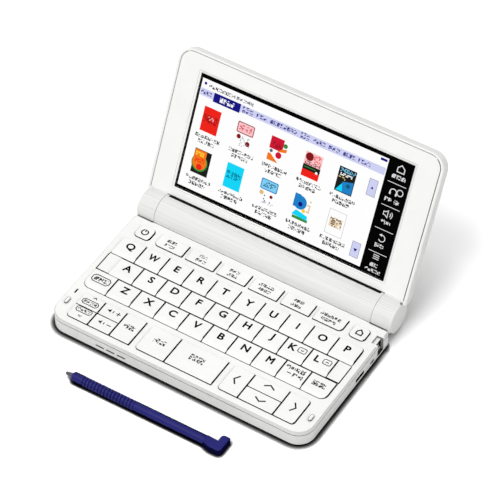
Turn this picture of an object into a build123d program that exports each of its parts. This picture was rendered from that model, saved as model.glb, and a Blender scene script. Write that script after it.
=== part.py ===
from build123d import *
import math
import os

# Electronic dictionary: a clamshell with a keyboard in its base, a screen in its lid, two AA
# cells in the hinge barrel and a loose stylus.  Millimetres.  +X right, +Y to the back, +Z up.
# The origin is on the table under the middle of the base.  The lid is modelled open.

# ---------------------------------------------------------------- driving dimensions: base
width = 148.0                # overall, side to side
depth = 95.8                 # base, front edge to the back of the barrel
underside_z = 0.25           # bottom face of the case, held up by its feet
floor_thickness = 1.35
wall = 1.6
cover_height = 2.1           # from the seam below the keyboard cover up to the deck
deck_thickness = 1.2
front_corner_radius = 9.0
rear_corner_radius = 1.0
base_edge_chamfer = 0.5
cover_edge_chamfer = 0.6
seam_height = 0.35           # shadow line below the keyboard cover
seam_depth = 0.4

# ---------------------------------------------------------------- driving dimensions: barrel
barrel_wall = 1.4
barrel_rise = 1.0            # underside of the case to the underside of the barrel
cell_clearance = 0.25
barrel_end_length = 10.85    # end stretches, which belong to the lid
battery_cover_gap = 0.15
grip_length = 24.0
grip_grooves = 5
grip_groove_depth = 0.35
swing_gap = 0.3              # between the turning lid and the base
side_gap = 0.25              # between the barrel's middle stretch and its end stretches
cover_step = 4.9             # the cover's seam steps up to the axis this far in front of it
shaft_radius = 2.5
shaft_hold = 3.0             # length held in the base
shaft_reach = 6.85           # length that the lid turns on
shaft_running_clearance = 0.05
shaft_seat_clearance = 0.02

# ---------------------------------------------------------------- driving dimensions: lid
lid_open_angle = 116.5       # opening angle in the modelled pose, 0 is closed
lid_side_overhang = 1.4      # the lid's slab is a little wider and longer than the base
lid_front_overhang = 0.2
lid_thickness = 6.3
lid_key_gap = 0.3            # closed lid to the key tops
lid_corner_radius = 8.4
lid_back_fillet = 1.0
lid_lip_chamfer = 0.35
lid_wall = 1.6
lid_side_rim = 1.5           # lip of the back shell beside the bezel
lid_top_rim = 0.8            # the same along the free edge
bezel_gap = 0.12
bezel_thickness = 1.6
bezel_foot = 9.4             # hinge axis to the bezel's lower edge
barrel_end_chamfer = 1.0
slab_foot = 7.6              # hinge axis to the lower edge of the lid's slab
slab_foot_chamfer = 3.2
pocket_foot = 12.5

# ---------------------------------------------------------------- driving dimensions: display
window_side_margin = 15.05   # lid's side to the window
window_top_margin = 10.25    # lid's free edge to the window
window_foot = 14.95          # hinge axis to the window's lower edge
window_bevel = 1.4
window_recess = 0.4
glass_gap = 0.05
module_margin = 1.8          # the display module is this much larger than the window
module_thickness = 2.4

# ---------------------------------------------------------------- driving dimensions: keys
key_proud = 0.7              # key tops above the deck
filler_groove_depth = 0.8    # line round the blank fillers, level with the deck
key_travel = 0.8
key_gap = 0.5
key_opening_gap = 0.3
key_edge_chamfer = 0.22
key_corner_cut = 0.35
key_height = 1.35
key_skirt = 0.9              # wall of the hollow under a key
key_skin = 0.75              # thickness of a key's top
key_sheet_clearance = 0.05
letter_side_margin = 3.85    # side of the case to the letter keys
letter_columns = 10
letter_rows = 3
row_gap = 3.35               # deck between the key groups, front to back
slope_width = 2.5            # sloping strip along the front of each letter key
slope_drop = 0.55
lower_front = 3.8            # lower key group, from the base's front edge
lower_back = 20.7
lower_split = 12.5           # seam between the stacked half-height keys
lower_side_margin = 8.6      # side of the case to the outermost lower keys
zoom_key_width = 12.75       # zoom and volume keys
history_key_width = 11.6
back_key_width = 17.1
group_gap = 3.1              # deck between the lower key groups, side to side
arrow_side_width = 11.75
arrow_middle_width = 19.7
top_back_margin = 4.5        # top key row to the back edge of the deck
top_key_depth = 8.0
menu_keys = 6
menu_gap = 2.1
menu_side_gap = 3.75         # menu keys to the power and home keys
round_key_width = 8.8
round_key_margin = 7.0       # side of the case to the power and home keys
round_key_radius = 2.2
block_corner_radius = 4.0
small_block_radius = 2.0

# ---------------------------------------------------------------- driving dimensions: inside
board_thickness = 0.8
sheet_thickness = 0.3
dome_size = 3.0
dome_height = 0.4
board_side_margin = 5.5      # board edge to the outside of the case, left and right
board_end_margin = 2.6       # the same at the front and back
boss_radius = 2.4
boss_inset = 16.0            # from the sides
boss_front = 30.0            # from the base's front edge
boss_to_silo = 11.8          # rear bosses to the stylus hole
cell_radius = 7.25
cell_length = 49.2
cell_nub_radius = 2.75
cell_nub_length = 1.3
cell_spacing = 0.05
contact_thickness = 0.5
contact_size = 9.0
spring_radius = 3.0
spring_length = 2.4
speaker_width = 17.0
speaker_depth = 9.0
speaker_height = 3.2
speaker_x = -36.8
speaker_gap = 0.3
slit_width = 4.8
slit_height = 0.9
slit_pitch = 6.2
slit_z = 3.4

# ---------------------------------------------------------------- driving dimensions: details
foot_length = 10.0
foot_width = 4.4
foot_corner_cut = 1.2
foot_inset_x = 18.0
foot_front_y = 10.0
foot_back_inset = 1.7        # from the back edge of the deck
foot_recess = 0.5
foot_gap = 0.1
bumper_width = 2.0
bumper_length = 4.2
bumper_gap = 0.25            # to the closed lid
bumper_inset = 3.9
bumper_y = 12.0
mic_width = 0.7
mic_length = 3.0
mic_inset = 4.0
mic_y = 19.5
usb_width = 7.6
usb_height = 2.3
usb_to_silo = 19.3           # socket to the stylus hole
usb_z = 3.3
slot_width = 3.4
slot_height = 0.9
slot_to_silo = 7.8
slot_z = 2.9
port_depth = 5.0
socket_skin = 0.4
socket_height = 3.2
socket_tongue_width = 5.6
socket_tongue_height = 0.7

# ---------------------------------------------------------------- driving dimensions: stylus
stylus_radius = 2.5
stylus_length = 89.8
stylus_tip_length = 3.9
stylus_tip_radius = 0.8
stylus_tip_gap = 0.04
stylus_grip_start = 10.6
stylus_grip_end = 40.0
stylus_grip_recess = 0.2
stylus_nose_length = 0.9
stylus_nose_radius = 1.7
stylus_tip_step = 0.3
stylus_head_length = 10.0
stylus_head_slope = 3.6
stylus_head_chamfer = 0.8
stylus_head_height = 4.6
stylus_hook_reach = 9.6
stylus_hook_width = 4.2
stylus_heel = 3.4
stylus_heel_radius = 1.8
stylus_turn = 0.45           # degrees, as it lies on the table
stylus_tip_x = -48.1
stylus_tip_y = -21.4         # from the base's front edge
silo_clearance = 0.2
silo_wall = 1.0
silo_inset = 7.9             # stylus hole to the back edge of the deck
silo_spare = 8.0
notch_margin = 0.05
notch_depth = 1.6
notch_ledge = 2.0
notch_ledge_drop = 1.4

# ---------------------------------------------------------------- derived places
os.makedirs("parts", exist_ok=True)
front_y = -depth / 2


def from_front(distance):
    """Y of a place given as its distance behind the base's front edge."""
    return front_y + distance


half_width = width / 2
# height of the base, from the floor up
floor_z = underside_z + floor_thickness
silo_size = 2 * (stylus_radius + silo_clearance)
board_z = floor_z + silo_size
sheet_z = board_z + board_thickness
key_bottom_z = sheet_z + sheet_thickness + key_travel + key_sheet_clearance
key_top_z = key_bottom_z + key_height
deck_z = key_top_z - key_proud
parting_z = deck_z - cover_height
notch_ledge_z = deck_z - notch_ledge_drop
bumper_height = key_proud + lid_key_gap - bumper_gap
# barrel and hinge
barrel_radius = cell_radius + cell_clearance + barrel_wall
barrel_half_length = half_width - barrel_end_length
middle_half = barrel_half_length + side_gap
axis_y = front_y + depth - barrel_radius
hinge_axis_z = underside_z + barrel_rise + barrel_radius
hinge_axis = Axis((0, axis_y, hinge_axis_z), (1, 0, 0))
deck_back_y = axis_y - barrel_radius - swing_gap
shaft_inner_x = barrel_half_length - shaft_hold
shaft_outer_x = barrel_half_length + shaft_reach
bore_radius = shaft_radius + shaft_running_clearance
battery_bay_half = cell_length + cell_nub_length + spring_length / 2 + contact_thickness
cells_start = spring_length + contact_thickness - battery_bay_half
apron_end = 5.5              # the case's underside stops this far in front of the axis
apron_top = hinge_axis_z - math.sqrt(barrel_radius**2 - (apron_end / 2) ** 2)
# keys
letter_width = width - 2 * letter_side_margin
letter_pitch_x = letter_width / letter_columns
letter_front_y = from_front(lower_back + row_gap)
top_back_y = deck_back_y - top_back_margin
top_front_y = top_back_y - top_key_depth
letter_pitch_y = (top_front_y - row_gap - letter_front_y) / letter_rows
round_key_x = half_width - round_key_margin - round_key_width / 2
menu_pitch = (2 * round_key_x - round_key_width - 2 * menu_side_gap + menu_gap) / menu_keys
menu_key_width = menu_pitch - menu_gap
# stylus hole and what stands beside it
silo_y = deck_back_y - silo_inset
silo_mid_z = floor_z + silo_size / 2
stylus_neck_start = stylus_length - stylus_head_length
silo_length = stylus_neck_start + silo_spare
notch_width = silo_size + 2 * notch_margin
boss_places = [
    (side * (half_width - boss_inset), row)
    for side in (-1, 1)
    for row in (from_front(boss_front), silo_y - boss_to_silo)
]
# lid
lid_half_width = half_width + lid_side_overhang
lid_length = axis_y - front_y + lid_front_overhang
lid_face = hinge_axis_z - key_top_z - lid_key_gap
lid_back = lid_face - lid_thickness
lid_lean = math.radians(180.0 - lid_open_angle)
window_width = 2 * (lid_half_width - window_side_margin)
window_height = lid_length - window_top_margin - window_foot
foot_places = [
    (side * (half_width - foot_inset_x), row)
    for side in (-1, 1)
    for row in (from_front(foot_front_y), deck_back_y - foot_back_inset)
]
lid_plane = Plane(
    origin=(0, axis_y, hinge_axis_z),
    x_dir=(1, 0, 0),
    z_dir=(0, -math.sin(lid_lean), math.cos(lid_lean)),
)
lid_up = Axis(lid_plane.origin, lid_plane.y_dir)
lid_normal = Axis(lid_plane.origin, lid_plane.z_dir)


def save(part, name):
    """Label a finished piece and write its STEP file."""
    part.label = name
    export_step(part, f"parts/{name}.step")


def base_outline(inset=0.0):
    """Plan of the base without its barrel: a rectangle with well rounded front corners."""
    with BuildSketch(Plane.XY) as plan:
        add(rectangle_between((-half_width + inset, front_y + inset), (half_width - inset, deck_back_y - inset)))
        fillet(plan.vertices().group_by(Axis.Y)[0], front_corner_radius - inset)
        if inset < rear_corner_radius:
            fillet(plan.vertices().group_by(Axis.Y)[-1], rear_corner_radius - inset)
    return plan.sketch


def disc(radius):
    """Round section about the hinge axis, drawn flat with Y across and Z up."""
    with BuildSketch(Plane.XY) as section:
        with Locations((axis_y, hinge_axis_z)):
            Circle(radius)
    return section.sketch


def rectangle_between(low, high):
    """Rectangle sketch from its two opposite corners, in the plane's own axes."""
    with BuildSketch(Plane.XY) as shape:
        with Locations(((low[0] + high[0]) / 2, (low[1] + high[1]) / 2)):
            Rectangle(high[0] - low[0], high[1] - low[1])
    return shape.sketch


def notch_plan(margin, left, right):
    """Plan of the notch that the stylus head sits in, or of the walls round it."""
    middle, half = silo_y, notch_width / 2 + margin
    return rectangle_between((left, middle - half), (right, middle + half))


def silo_plan(margin):
    """Plan of the stylus silo, or of the ribs and the end wall round it."""
    middle, half = silo_y, silo_size / 2 + margin
    mouth = half_width - notch_depth
    return rectangle_between((mouth - silo_length - margin, middle - half), (mouth, middle + half))


def board_plan():
    """Plan of the circuit board and of the keypad sheet on it."""
    return rectangle_between((-half_width + board_side_margin, front_y + board_end_margin),
                             (half_width - board_side_margin, deck_back_y - board_end_margin))


def lid_outline(foot, side_inset=0.0, top_inset=0.0):
    """The lid's outline in its own plane from a foot up, drawn in at the sides and at the free edge."""
    half = lid_half_width - side_inset
    with BuildSketch(Plane.XY) as outline:
        add(rectangle_between((-half, foot), (half, lid_length - top_inset)))
        fillet(outline.vertices().group_by(Axis.Y)[-1], lid_corner_radius - side_inset)
    return outline.sketch


def window(margin):
    """The display window in the lid's plane, grown by a margin on every side."""
    half = window_width / 2 + margin
    return rectangle_between((-half, window_foot - margin), (half, window_foot + window_height + margin))


def foot_plan(margin):
    """Plan of all the feet, grown by a margin on every side."""
    with BuildSketch(Plane.XY) as plan:
        with Locations(*foot_places):
            Rectangle(foot_length + 2 * margin, foot_width + 2 * margin)
        chamfer(plan.vertices(), foot_corner_cut)
    return plan.sketch


# ---------------------------------------------------------------- key table
class Key:
    """A key's name, its cell in the layout and the corners of it that are widely rounded."""

    def __init__(self, name, left, right, front, back, corners=(), radius=0.0, slope=False):
        self.name, self.left, self.right, self.front, self.back = name, left, right, front, back
        self.corners, self.radius, self.slope = corners, radius, slope


def letter_keys():
    """Three staggered rows; the middle row is half a pitch in, between two blank fillers."""
    top_row = [(name, column) for column, name in enumerate("qwertyuiop")]
    middle_row = [(name, column + 0.5) for column, name in enumerate("asdfghjkl")]
    bottom_names = ["shift"] + list("zxcvbnm") + ["space", "delete"]
    bottom_row = [(name, column) for column, name in enumerate(bottom_names)]
    rounded = {
        "q": ((-1, 1), small_block_radius),
        "p": ((1, 1), small_block_radius),
        "shift": ((-1, -1), block_corner_radius),
        "delete": ((1, -1), block_corner_radius),
    }
    keys = []
    for row, names in enumerate([bottom_row, middle_row, top_row]):
        front = letter_front_y + row * letter_pitch_y
        for name, column in names:
            left = -letter_width / 2 + column * letter_pitch_x
            corner, radius = rounded.get(name, (None, 0.0))
            corners = (corner,) if corner else ()
            keys.append(Key("key_" + name, left, left + letter_pitch_x, front, front + letter_pitch_y,
                            corners, radius, slope=True))
    return keys


def lower_keys():
    """Zoom, volume and history keys, the back and enter keys, and the four arrows."""
    front, split, back = from_front(lower_front), from_front(lower_split), from_front(lower_back)
    a = -half_width + lower_side_margin
    b = a + zoom_key_width
    c = b + zoom_key_width
    d = c + history_key_width
    e = d + group_gap
    f = e + back_key_width
    k = half_width - lower_side_margin
    j = k - arrow_side_width
    i = j - arrow_middle_width
    h = i - arrow_side_width
    g = h - group_gap
    radius = small_block_radius
    return [
        Key("key_zoom_in", a, b, split, back, ((-1, 1),), radius),
        Key("key_zoom_out", a, b, front, split, ((-1, -1),), radius),
        Key("key_volume_up", b, c, split, back),
        Key("key_volume_down", b, c, front, split),
        Key("key_history", c, d, front, back),
        Key("key_back", e, f, front, back, ((-1, 1), (-1, -1)), radius),
        Key("key_enter", f, g, front, back),
        Key("key_arrow_left", h, i, front, back, ((-1, 1), (-1, -1)), radius),
        Key("key_arrow_up", i, j, split, back),
        Key("key_arrow_down", i, j, front, split),
        Key("key_arrow_right", j, k, front, back, ((1, 1), (1, -1)), radius),
    ]


def top_keys():
    """Power and home keys, with the row of menu keys between them."""
    front, back = top_front_y, top_back_y
    half = round_key_width / 2
    every_corner = ((-1, -1), (1, -1), (-1, 1), (1, 1))
    keys = [
        Key("key_power", -round_key_x - half, -round_key_x + half, front, back, every_corner, round_key_radius),
        Key("key_home", round_key_x - half, round_key_x + half, front, back, every_corner, round_key_radius),
    ]
    for number in range(menu_keys):
        middle = (number - (menu_keys - 1) / 2) * menu_pitch
        corners = {0: ((-1, -1),), menu_keys - 1: ((1, -1),)}.get(number, ())
        keys.append(Key(f"key_menu_{number + 1}", middle - menu_key_width / 2, middle + menu_key_width / 2,
                        front, back, corners, round_key_radius))
    return keys


def key_outline(key, inset):
    """A key's cell as a sketch, drawn in (or out, if negative) on every side."""
    with BuildSketch(Plane.XY) as outline:
        add(rectangle_between((key.left + inset, key.front + inset), (key.right - inset, key.back - inset)))
        for side_x, side_y in key.corners:
            corner = outline.vertices().sort_by(lambda v: v.X * side_x + v.Y * side_y)[-1]
            fillet(corner, key.radius - inset)
        sharp = [v for v in outline.vertices() if is_square_corner(v, key, inset)]
        if sharp:
            chamfer(sharp, key_corner_cut)
    return outline.sketch


def is_square_corner(vertex, key, inset):
    """True for a vertex that still is a corner of the key's inset rectangle."""
    at_side = min(abs(vertex.X - key.left - inset), abs(key.right - inset - vertex.X)) < 1e-6
    at_end = min(abs(vertex.Y - key.front - inset), abs(key.back - inset - vertex.Y)) < 1e-6
    return at_side and at_end


def make_key(key, inset):
    """A hollow key cap: chamfered top, and a sloping strip in front on the letter keys."""
    with BuildPart() as cap:
        with BuildSketch(Plane.XY.offset(key_bottom_z)):
            add(key_outline(key, inset))
        extrude(amount=key_top_z - key_bottom_z)
        chamfer(cap.faces().sort_by(Axis.Z)[-1].edges(), key_edge_chamfer)
        if key.slope:
            front = key.front + inset
            with BuildSketch(Plane.YZ):
                with BuildLine():
                    Polyline((front, key_top_z - slope_drop), (front + slope_width, key_top_z),
                             (front, key_top_z), close=True)
                make_face()
            extrude(amount=width, both=True, mode=Mode.SUBTRACT)
        with BuildSketch(Plane.XY.offset(key_bottom_z)):
            add(rectangle_between((key.left + inset + key_skirt, key.front + inset + key_skirt),
                                  (key.right - inset - key_skirt, key.back - inset - key_skirt)))
        extrude(amount=key_top_z - key_skin - key_bottom_z, mode=Mode.SUBTRACT)
    return cap.part


letters = letter_keys()
lowers = lower_keys()
tops = top_keys()
all_keys = letters + lowers + tops


# ---------------------------------------------------------------- openings in the deck
opening_growth = key_opening_gap - key_gap / 2    # beyond the outermost keys' cells


def group_opening(keys, growth):
    """One opening around a group of keys that stand side by side, rounded as the keys are."""
    block = Key("block", min(k.left for k in keys), max(k.right for k in keys),
                min(k.front for k in keys), max(k.back for k in keys))
    with BuildSketch(Plane.XY) as opening:
        add(rectangle_between((block.left - growth, block.front - growth), (block.right + growth, block.back + growth)))
        for key in keys:
            for side_x, side_y in key.corners:
                corner = opening.vertices().sort_by(lambda v: v.X * side_x + v.Y * side_y)[-1]
                fillet(corner, key.radius)
    return opening.sketch


def blank_filler(side):
    """Half a key of the middle letter row, left standing in the deck beside the last key."""
    outer = letter_width / 2 + opening_growth
    inner = letter_width / 2 - letter_pitch_x / 2 + opening_growth
    front = letter_front_y + letter_pitch_y + opening_growth
    back = front + letter_pitch_y - 2 * opening_growth
    return rectangle_between((min(side * inner, side * outer), front), (max(side * inner, side * outer), back))


# ---------------------------------------------------------------- keyboard cover
with BuildPart() as keyboard_cover:
    with BuildSketch(Plane.XY.offset(parting_z)):
        add(base_outline())
    extrude(amount=deck_z - parting_z)
    deck_rim = keyboard_cover.faces().sort_by(Axis.Z)[-1].edges().sort_by(Axis.Y)[:-1]
    chamfer(deck_rim, cover_edge_chamfer)
    # the barrel's upper shell, down to the deck in front and to the axis behind
    with BuildSketch(Plane.YZ.offset(-barrel_half_length)):
        add(disc(barrel_radius))
        add(rectangle_between((deck_back_y - wall, parting_z), (axis_y - cover_step, deck_z)))
        add(rectangle_between((axis_y - cover_step, 0), (axis_y + depth, hinge_axis_z)), mode=Mode.SUBTRACT)
        add(rectangle_between((front_y, 0), (axis_y, parting_z)), mode=Mode.SUBTRACT)
    extrude(amount=2 * barrel_half_length)
    # hollow of the battery bay, seats of the hinge shafts
    with BuildSketch(Plane.YZ.offset(-battery_bay_half)):
        add(disc(barrel_radius - barrel_wall))
    extrude(amount=2 * battery_bay_half, mode=Mode.SUBTRACT)
    for end in (-1, 1):
        with BuildSketch(Plane.YZ.offset(end * shaft_inner_x)):
            add(disc(shaft_radius + shaft_seat_clearance))
        extrude(amount=end * (barrel_half_length - shaft_inner_x), mode=Mode.SUBTRACT)
    # room under the deck
    with BuildSketch(Plane.XY.offset(parting_z)):
        add(base_outline(wall))
    extrude(amount=deck_z - deck_thickness - parting_z, mode=Mode.SUBTRACT)
    # openings for the keys
    with BuildSketch(Plane.XY.offset(deck_z - deck_thickness)):
        add(group_opening(letters, opening_growth))
        for side in (-1, 1):
            add(blank_filler(side), mode=Mode.SUBTRACT)
        for group in (lowers[:5], lowers[5:7], lowers[7:]):
            add(group_opening(group, opening_growth))
        for key in tops:
            add(key_outline(key, -key_opening_gap))
        with Locations((mic_inset - half_width, from_front(mic_y))):
            Rectangle(mic_width, mic_length)
    extrude(amount=deck_thickness, mode=Mode.SUBTRACT)
    # grooves that set off the blank fillers from the deck
    for side in (-1, 1):
        with BuildSketch(Plane.XY.offset(deck_z)):
            add(blank_filler(side))
            add(blank_filler(side).moved(Location((-side * key_opening_gap, 0))), mode=Mode.SUBTRACT)
        extrude(amount=-filler_groove_depth, mode=Mode.SUBTRACT)
    # soft stops that the closed lid rests on
    with BuildSketch(Plane.XY.offset(deck_z)):
        bumper_x = half_width - bumper_inset
        with Locations((-bumper_x, from_front(bumper_y)), (bumper_x, from_front(bumper_y))):
            SlotOverall(bumper_length, bumper_width, rotation=90)
    extrude(amount=bumper_height)
    # walls round the stylus notch, the notch and its ledge
    with BuildSketch(Plane.XY.offset(parting_z)):
        add(notch_plan(silo_wall, half_width - notch_depth - notch_ledge - silo_wall, half_width))
    extrude(amount=deck_z - parting_z)
    with BuildSketch(Plane.XY.offset(parting_z)):
        add(notch_plan(0, half_width - notch_depth, half_width + wall))
    extrude(amount=deck_z - parting_z, mode=Mode.SUBTRACT)
    with BuildSketch(Plane.XY.offset(notch_ledge_z)):
        add(notch_plan(0, half_width - notch_depth - notch_ledge, half_width + wall))
    extrude(amount=deck_z - notch_ledge_z, mode=Mode.SUBTRACT)
save(keyboard_cover.part, "keyboard_cover")

# ---------------------------------------------------------------- lower case
with BuildPart() as lower_case:
    with BuildSketch(Plane.XY.offset(underside_z)):
        add(base_outline())
    extrude(amount=parting_z - underside_z)
    chamfer(lower_case.faces().sort_by(Axis.Z)[0].edges().sort_by(Axis.Y)[:-1], base_edge_chamfer)
    with BuildSketch(Plane.XY.offset(parting_z)):
        add(base_outline())
        add(base_outline(seam_depth), mode=Mode.SUBTRACT)
    extrude(amount=-seam_height, mode=Mode.SUBTRACT)
    # trough under the front of the barrel, and the solid ends that hold the hinge shafts
    with BuildSketch(Plane.YZ.offset(-barrel_half_length)):
        add(disc(barrel_radius))
        with BuildLine():
            Polyline((deck_back_y - wall, underside_z), (axis_y - apron_end, underside_z),
                     (axis_y - apron_end / 2, apron_top), (axis_y - apron_end / 2, parting_z),
                     (deck_back_y - wall, parting_z), close=True)
        make_face()
        add(rectangle_between((front_y, parting_z), (axis_y - cover_step, depth)), mode=Mode.SUBTRACT)
        add(rectangle_between((axis_y - cover_step, hinge_axis_z), (axis_y + depth, depth)), mode=Mode.SUBTRACT)
    extrude(amount=2 * barrel_half_length)
    with BuildSketch(Plane.YZ.offset(-battery_bay_half)):
        add(disc(barrel_radius - barrel_wall))
        add(rectangle_between((axis_y, 0), (axis_y + depth, depth)))
    extrude(amount=2 * battery_bay_half, mode=Mode.SUBTRACT)
    for end in (-1, 1):
        with BuildSketch(Plane.YZ.offset(end * shaft_inner_x)):
            add(disc(shaft_radius + shaft_seat_clearance))
        extrude(amount=end * (barrel_half_length - shaft_inner_x), mode=Mode.SUBTRACT)
    # room for the board
    with BuildSketch(Plane.XY.offset(floor_z)):
        add(base_outline(wall))
    extrude(amount=parting_z - floor_z, mode=Mode.SUBTRACT)
    # bosses that carry the board
    with BuildSketch(Plane.XY.offset(floor_z)):
        with Locations(*boss_places):
            Circle(boss_radius)
    extrude(amount=board_z - floor_z)
    # stylus silo: two ribs and an end wall on the floor, roofed by the board
    with BuildSketch(Plane.XY.offset(floor_z)):
        add(silo_plan(silo_wall))
    extrude(amount=board_z - floor_z)
    with BuildSketch(Plane.XY.offset(floor_z)):
        add(notch_plan(silo_wall, half_width - notch_depth - notch_ledge - silo_wall, half_width))
    extrude(amount=parting_z - floor_z)
    with BuildSketch(Plane.XY.offset(floor_z)):
        add(silo_plan(0))
    extrude(amount=board_z - floor_z, mode=Mode.SUBTRACT)
    with BuildSketch(Plane.XY.offset(floor_z)):
        add(notch_plan(0, half_width - notch_depth, half_width + wall))
    extrude(amount=parting_z - floor_z, mode=Mode.SUBTRACT)
    # speaker slits in the front wall
    with BuildSketch(Plane.XZ.offset(-front_y - wall)):
        with Locations((speaker_x, slit_z)):
            with GridLocations(slit_pitch, slit_pitch, 3, 1):
                Rectangle(slit_width, slit_height)
    extrude(amount=2 * wall, mode=Mode.SUBTRACT)
    # ports in the right wall
    with BuildSketch(Plane.YZ.offset(half_width - wall)):
        with Locations((silo_y - usb_to_silo, usb_z)):
            Rectangle(usb_width, usb_height)
    extrude(amount=2 * wall, mode=Mode.SUBTRACT)
    with BuildSketch(Plane.YZ.offset(half_width - wall / 2)):
        with Locations((silo_y - slot_to_silo, slot_z)):
            Rectangle(slot_width, slot_height)
    extrude(amount=wall, mode=Mode.SUBTRACT)
    # seats of the feet
    with BuildSketch(Plane.XY.offset(underside_z)):
        add(foot_plan(foot_gap))
    extrude(amount=foot_recess, mode=Mode.SUBTRACT)
save(lower_case.part, "lower_case")

# ---------------------------------------------------------------- battery cover
with BuildPart() as battery_cover:
    half = battery_bay_half - battery_cover_gap
    with BuildSketch(Plane.YZ.offset(-half)):
        add(disc(barrel_radius))
        add(disc(barrel_radius - barrel_wall), mode=Mode.SUBTRACT)
        add(rectangle_between((axis_y + battery_cover_gap, 0), (axis_y + depth, hinge_axis_z - battery_cover_gap)),
            mode=Mode.INTERSECT)
    extrude(amount=2 * half)
    # finger grooves
    with BuildSketch(Plane.YZ.offset(-grip_length / 2)):
        with Locations((axis_y, hinge_axis_z)):
            with PolarLocations(barrel_radius, grip_grooves, start_angle=-58, angular_range=26, endpoint=True):
                Rectangle(2 * grip_groove_depth, 2 * grip_groove_depth, rotation=45)
    extrude(amount=grip_length, mode=Mode.SUBTRACT)
save(battery_cover.part, "battery_cover")

# ---------------------------------------------------------------- battery cells
with BuildPart() as battery_cells:
    for start in (cells_start, cells_start + cell_length + cell_nub_length):
        with BuildSketch(Plane.YZ.offset(start)):
            add(disc(cell_radius))
        extrude(amount=cell_length)
        with BuildSketch(Plane.YZ.offset(start + cell_length)):
            add(disc(cell_nub_radius))
        extrude(amount=cell_nub_length - cell_spacing)
save(battery_cells.part, "battery_cells")

# ---------------------------------------------------------------- circuit board
with BuildPart() as circuit_board:
    # the board itself
    with BuildSketch(Plane.XY.offset(board_z)):
        add(board_plan())
    extrude(amount=board_thickness)
    # contact plates at both ends of the battery bay, and the spring on one of them
    for end in (-1, 1):
        with BuildSketch(Plane.YZ.offset(end * battery_bay_half)):
            with Locations((axis_y, hinge_axis_z)):
                Rectangle(contact_size, contact_size)
        extrude(amount=-end * contact_thickness)
    with BuildSketch(Plane.YZ.offset(-battery_bay_half + contact_thickness)):
        add(disc(spring_radius))
        add(disc(spring_radius / 2), mode=Mode.SUBTRACT)
    extrude(amount=spring_length)
    # speaker behind the slits, and the socket behind the port
    with BuildSketch(Plane.XY.offset(floor_z)):
        with Locations((speaker_x, from_front(wall + speaker_gap + speaker_depth / 2))):
            Rectangle(speaker_width, speaker_depth)
    extrude(amount=speaker_height)
    with BuildSketch(Plane.YZ.offset(half_width - wall)):
        with Locations((silo_y - usb_to_silo, floor_z + socket_height / 2)):
            Rectangle(usb_width + 2 * socket_skin, socket_height)
    extrude(amount=-port_depth)
    with BuildSketch(Plane.YZ.offset(half_width - wall)):
        with Locations((silo_y - usb_to_silo, usb_z)):
            Rectangle(usb_width - socket_skin, usb_height - socket_skin)
            with Locations((0, socket_skin / 2)):
                Rectangle(socket_tongue_width, socket_tongue_height, mode=Mode.SUBTRACT)
    extrude(amount=-port_depth + socket_skin, mode=Mode.SUBTRACT)
save(circuit_board.part, "circuit_board")

# ---------------------------------------------------------------- keypad sheet
with BuildPart() as keypad_sheet:
    with BuildSketch(Plane.XY.offset(sheet_z)):
        add(board_plan())
    extrude(amount=sheet_thickness)
    with BuildSketch(Plane.XY.offset(sheet_z + sheet_thickness)):
        with Locations(*[((k.left + k.right) / 2, (k.front + k.back) / 2) for k in all_keys]):
            Rectangle(dome_size, dome_size)
    extrude(amount=dome_height)
save(keypad_sheet.part, "keypad_sheet")

# ---------------------------------------------------------------- keys
for key in all_keys:
    save(make_key(key, 0.0 if key in tops else key_gap / 2), key.name)

# ---------------------------------------------------------------- hinge shafts
with BuildPart() as hinge_shafts:
    for end in (-1, 1):
        with BuildSketch(Plane.YZ.offset(end * shaft_inner_x)):
            add(disc(shaft_radius))
        extrude(amount=end * (shaft_outer_x - shaft_inner_x))
save(hinge_shafts.part, "hinge_shafts")

# ---------------------------------------------------------------- feet
with BuildPart() as rubber_feet:
    with BuildSketch(Plane.XY):
        add(foot_plan(0))
    extrude(amount=underside_z + foot_recess)
save(rubber_feet.part, "rubber_feet")

# ---------------------------------------------------------------- lid back
with BuildPart() as lid_back_shell:
    # the slab, rounded at its free corners, round its back and where it meets the barrel
    with BuildSketch(lid_plane.offset(lid_back)):
        add(lid_outline(slab_foot))
    extrude(amount=lid_thickness)
    chamfer(lid_back_shell.faces().sort_by(lid_normal)[0].edges().sort_by(lid_up)[0], slab_foot_chamfer)
    fillet(lid_back_shell.faces().sort_by(lid_normal)[0].edges().sort_by(lid_up)[1:], lid_back_fillet)
    chamfer(lid_back_shell.faces().sort_by(lid_normal)[-1].edges().sort_by(lid_up)[1:], lid_lip_chamfer)
    # the end stretches of the barrel, with chamfered ends
    for end in (-1, 1):
        with BuildSketch(Plane.XY.offset(hinge_axis_z)):
            with BuildLine():
                Polyline((end * middle_half, axis_y), (end * half_width, axis_y),
                         (end * half_width, axis_y + barrel_radius - barrel_end_chamfer),
                         (end * (half_width - barrel_end_chamfer), axis_y + barrel_radius),
                         (end * middle_half, axis_y + barrel_radius), close=True)
            make_face()
        revolve(axis=hinge_axis)
    # room for the barrel's middle stretch
    with BuildSketch(Plane.YZ.offset(-middle_half)):
        add(disc(barrel_radius + swing_gap))
    extrude(amount=2 * middle_half, mode=Mode.SUBTRACT)
    # seat of the bezel, and room for the display behind it
    with BuildSketch(lid_plane.offset(lid_face)):
        add(lid_outline(bezel_foot - bezel_gap, lid_side_rim, lid_top_rim))
        add(rectangle_between((-middle_half, 0), (middle_half, window_foot)))
    extrude(amount=-bezel_thickness, mode=Mode.SUBTRACT)
    with BuildSketch(lid_plane.offset(lid_face - bezel_thickness)):
        add(lid_outline(pocket_foot, lid_wall, lid_wall))
    extrude(amount=-(lid_thickness - bezel_thickness - lid_wall), mode=Mode.SUBTRACT)
    # bores that turn on the hinge shafts
    for end in (-1, 1):
        with BuildSketch(Plane.YZ.offset(end * middle_half)):
            add(disc(bore_radius))
        extrude(amount=end * (shaft_outer_x + swing_gap - middle_half), mode=Mode.SUBTRACT)
save(lid_back_shell.part, "lid_back")

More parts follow.
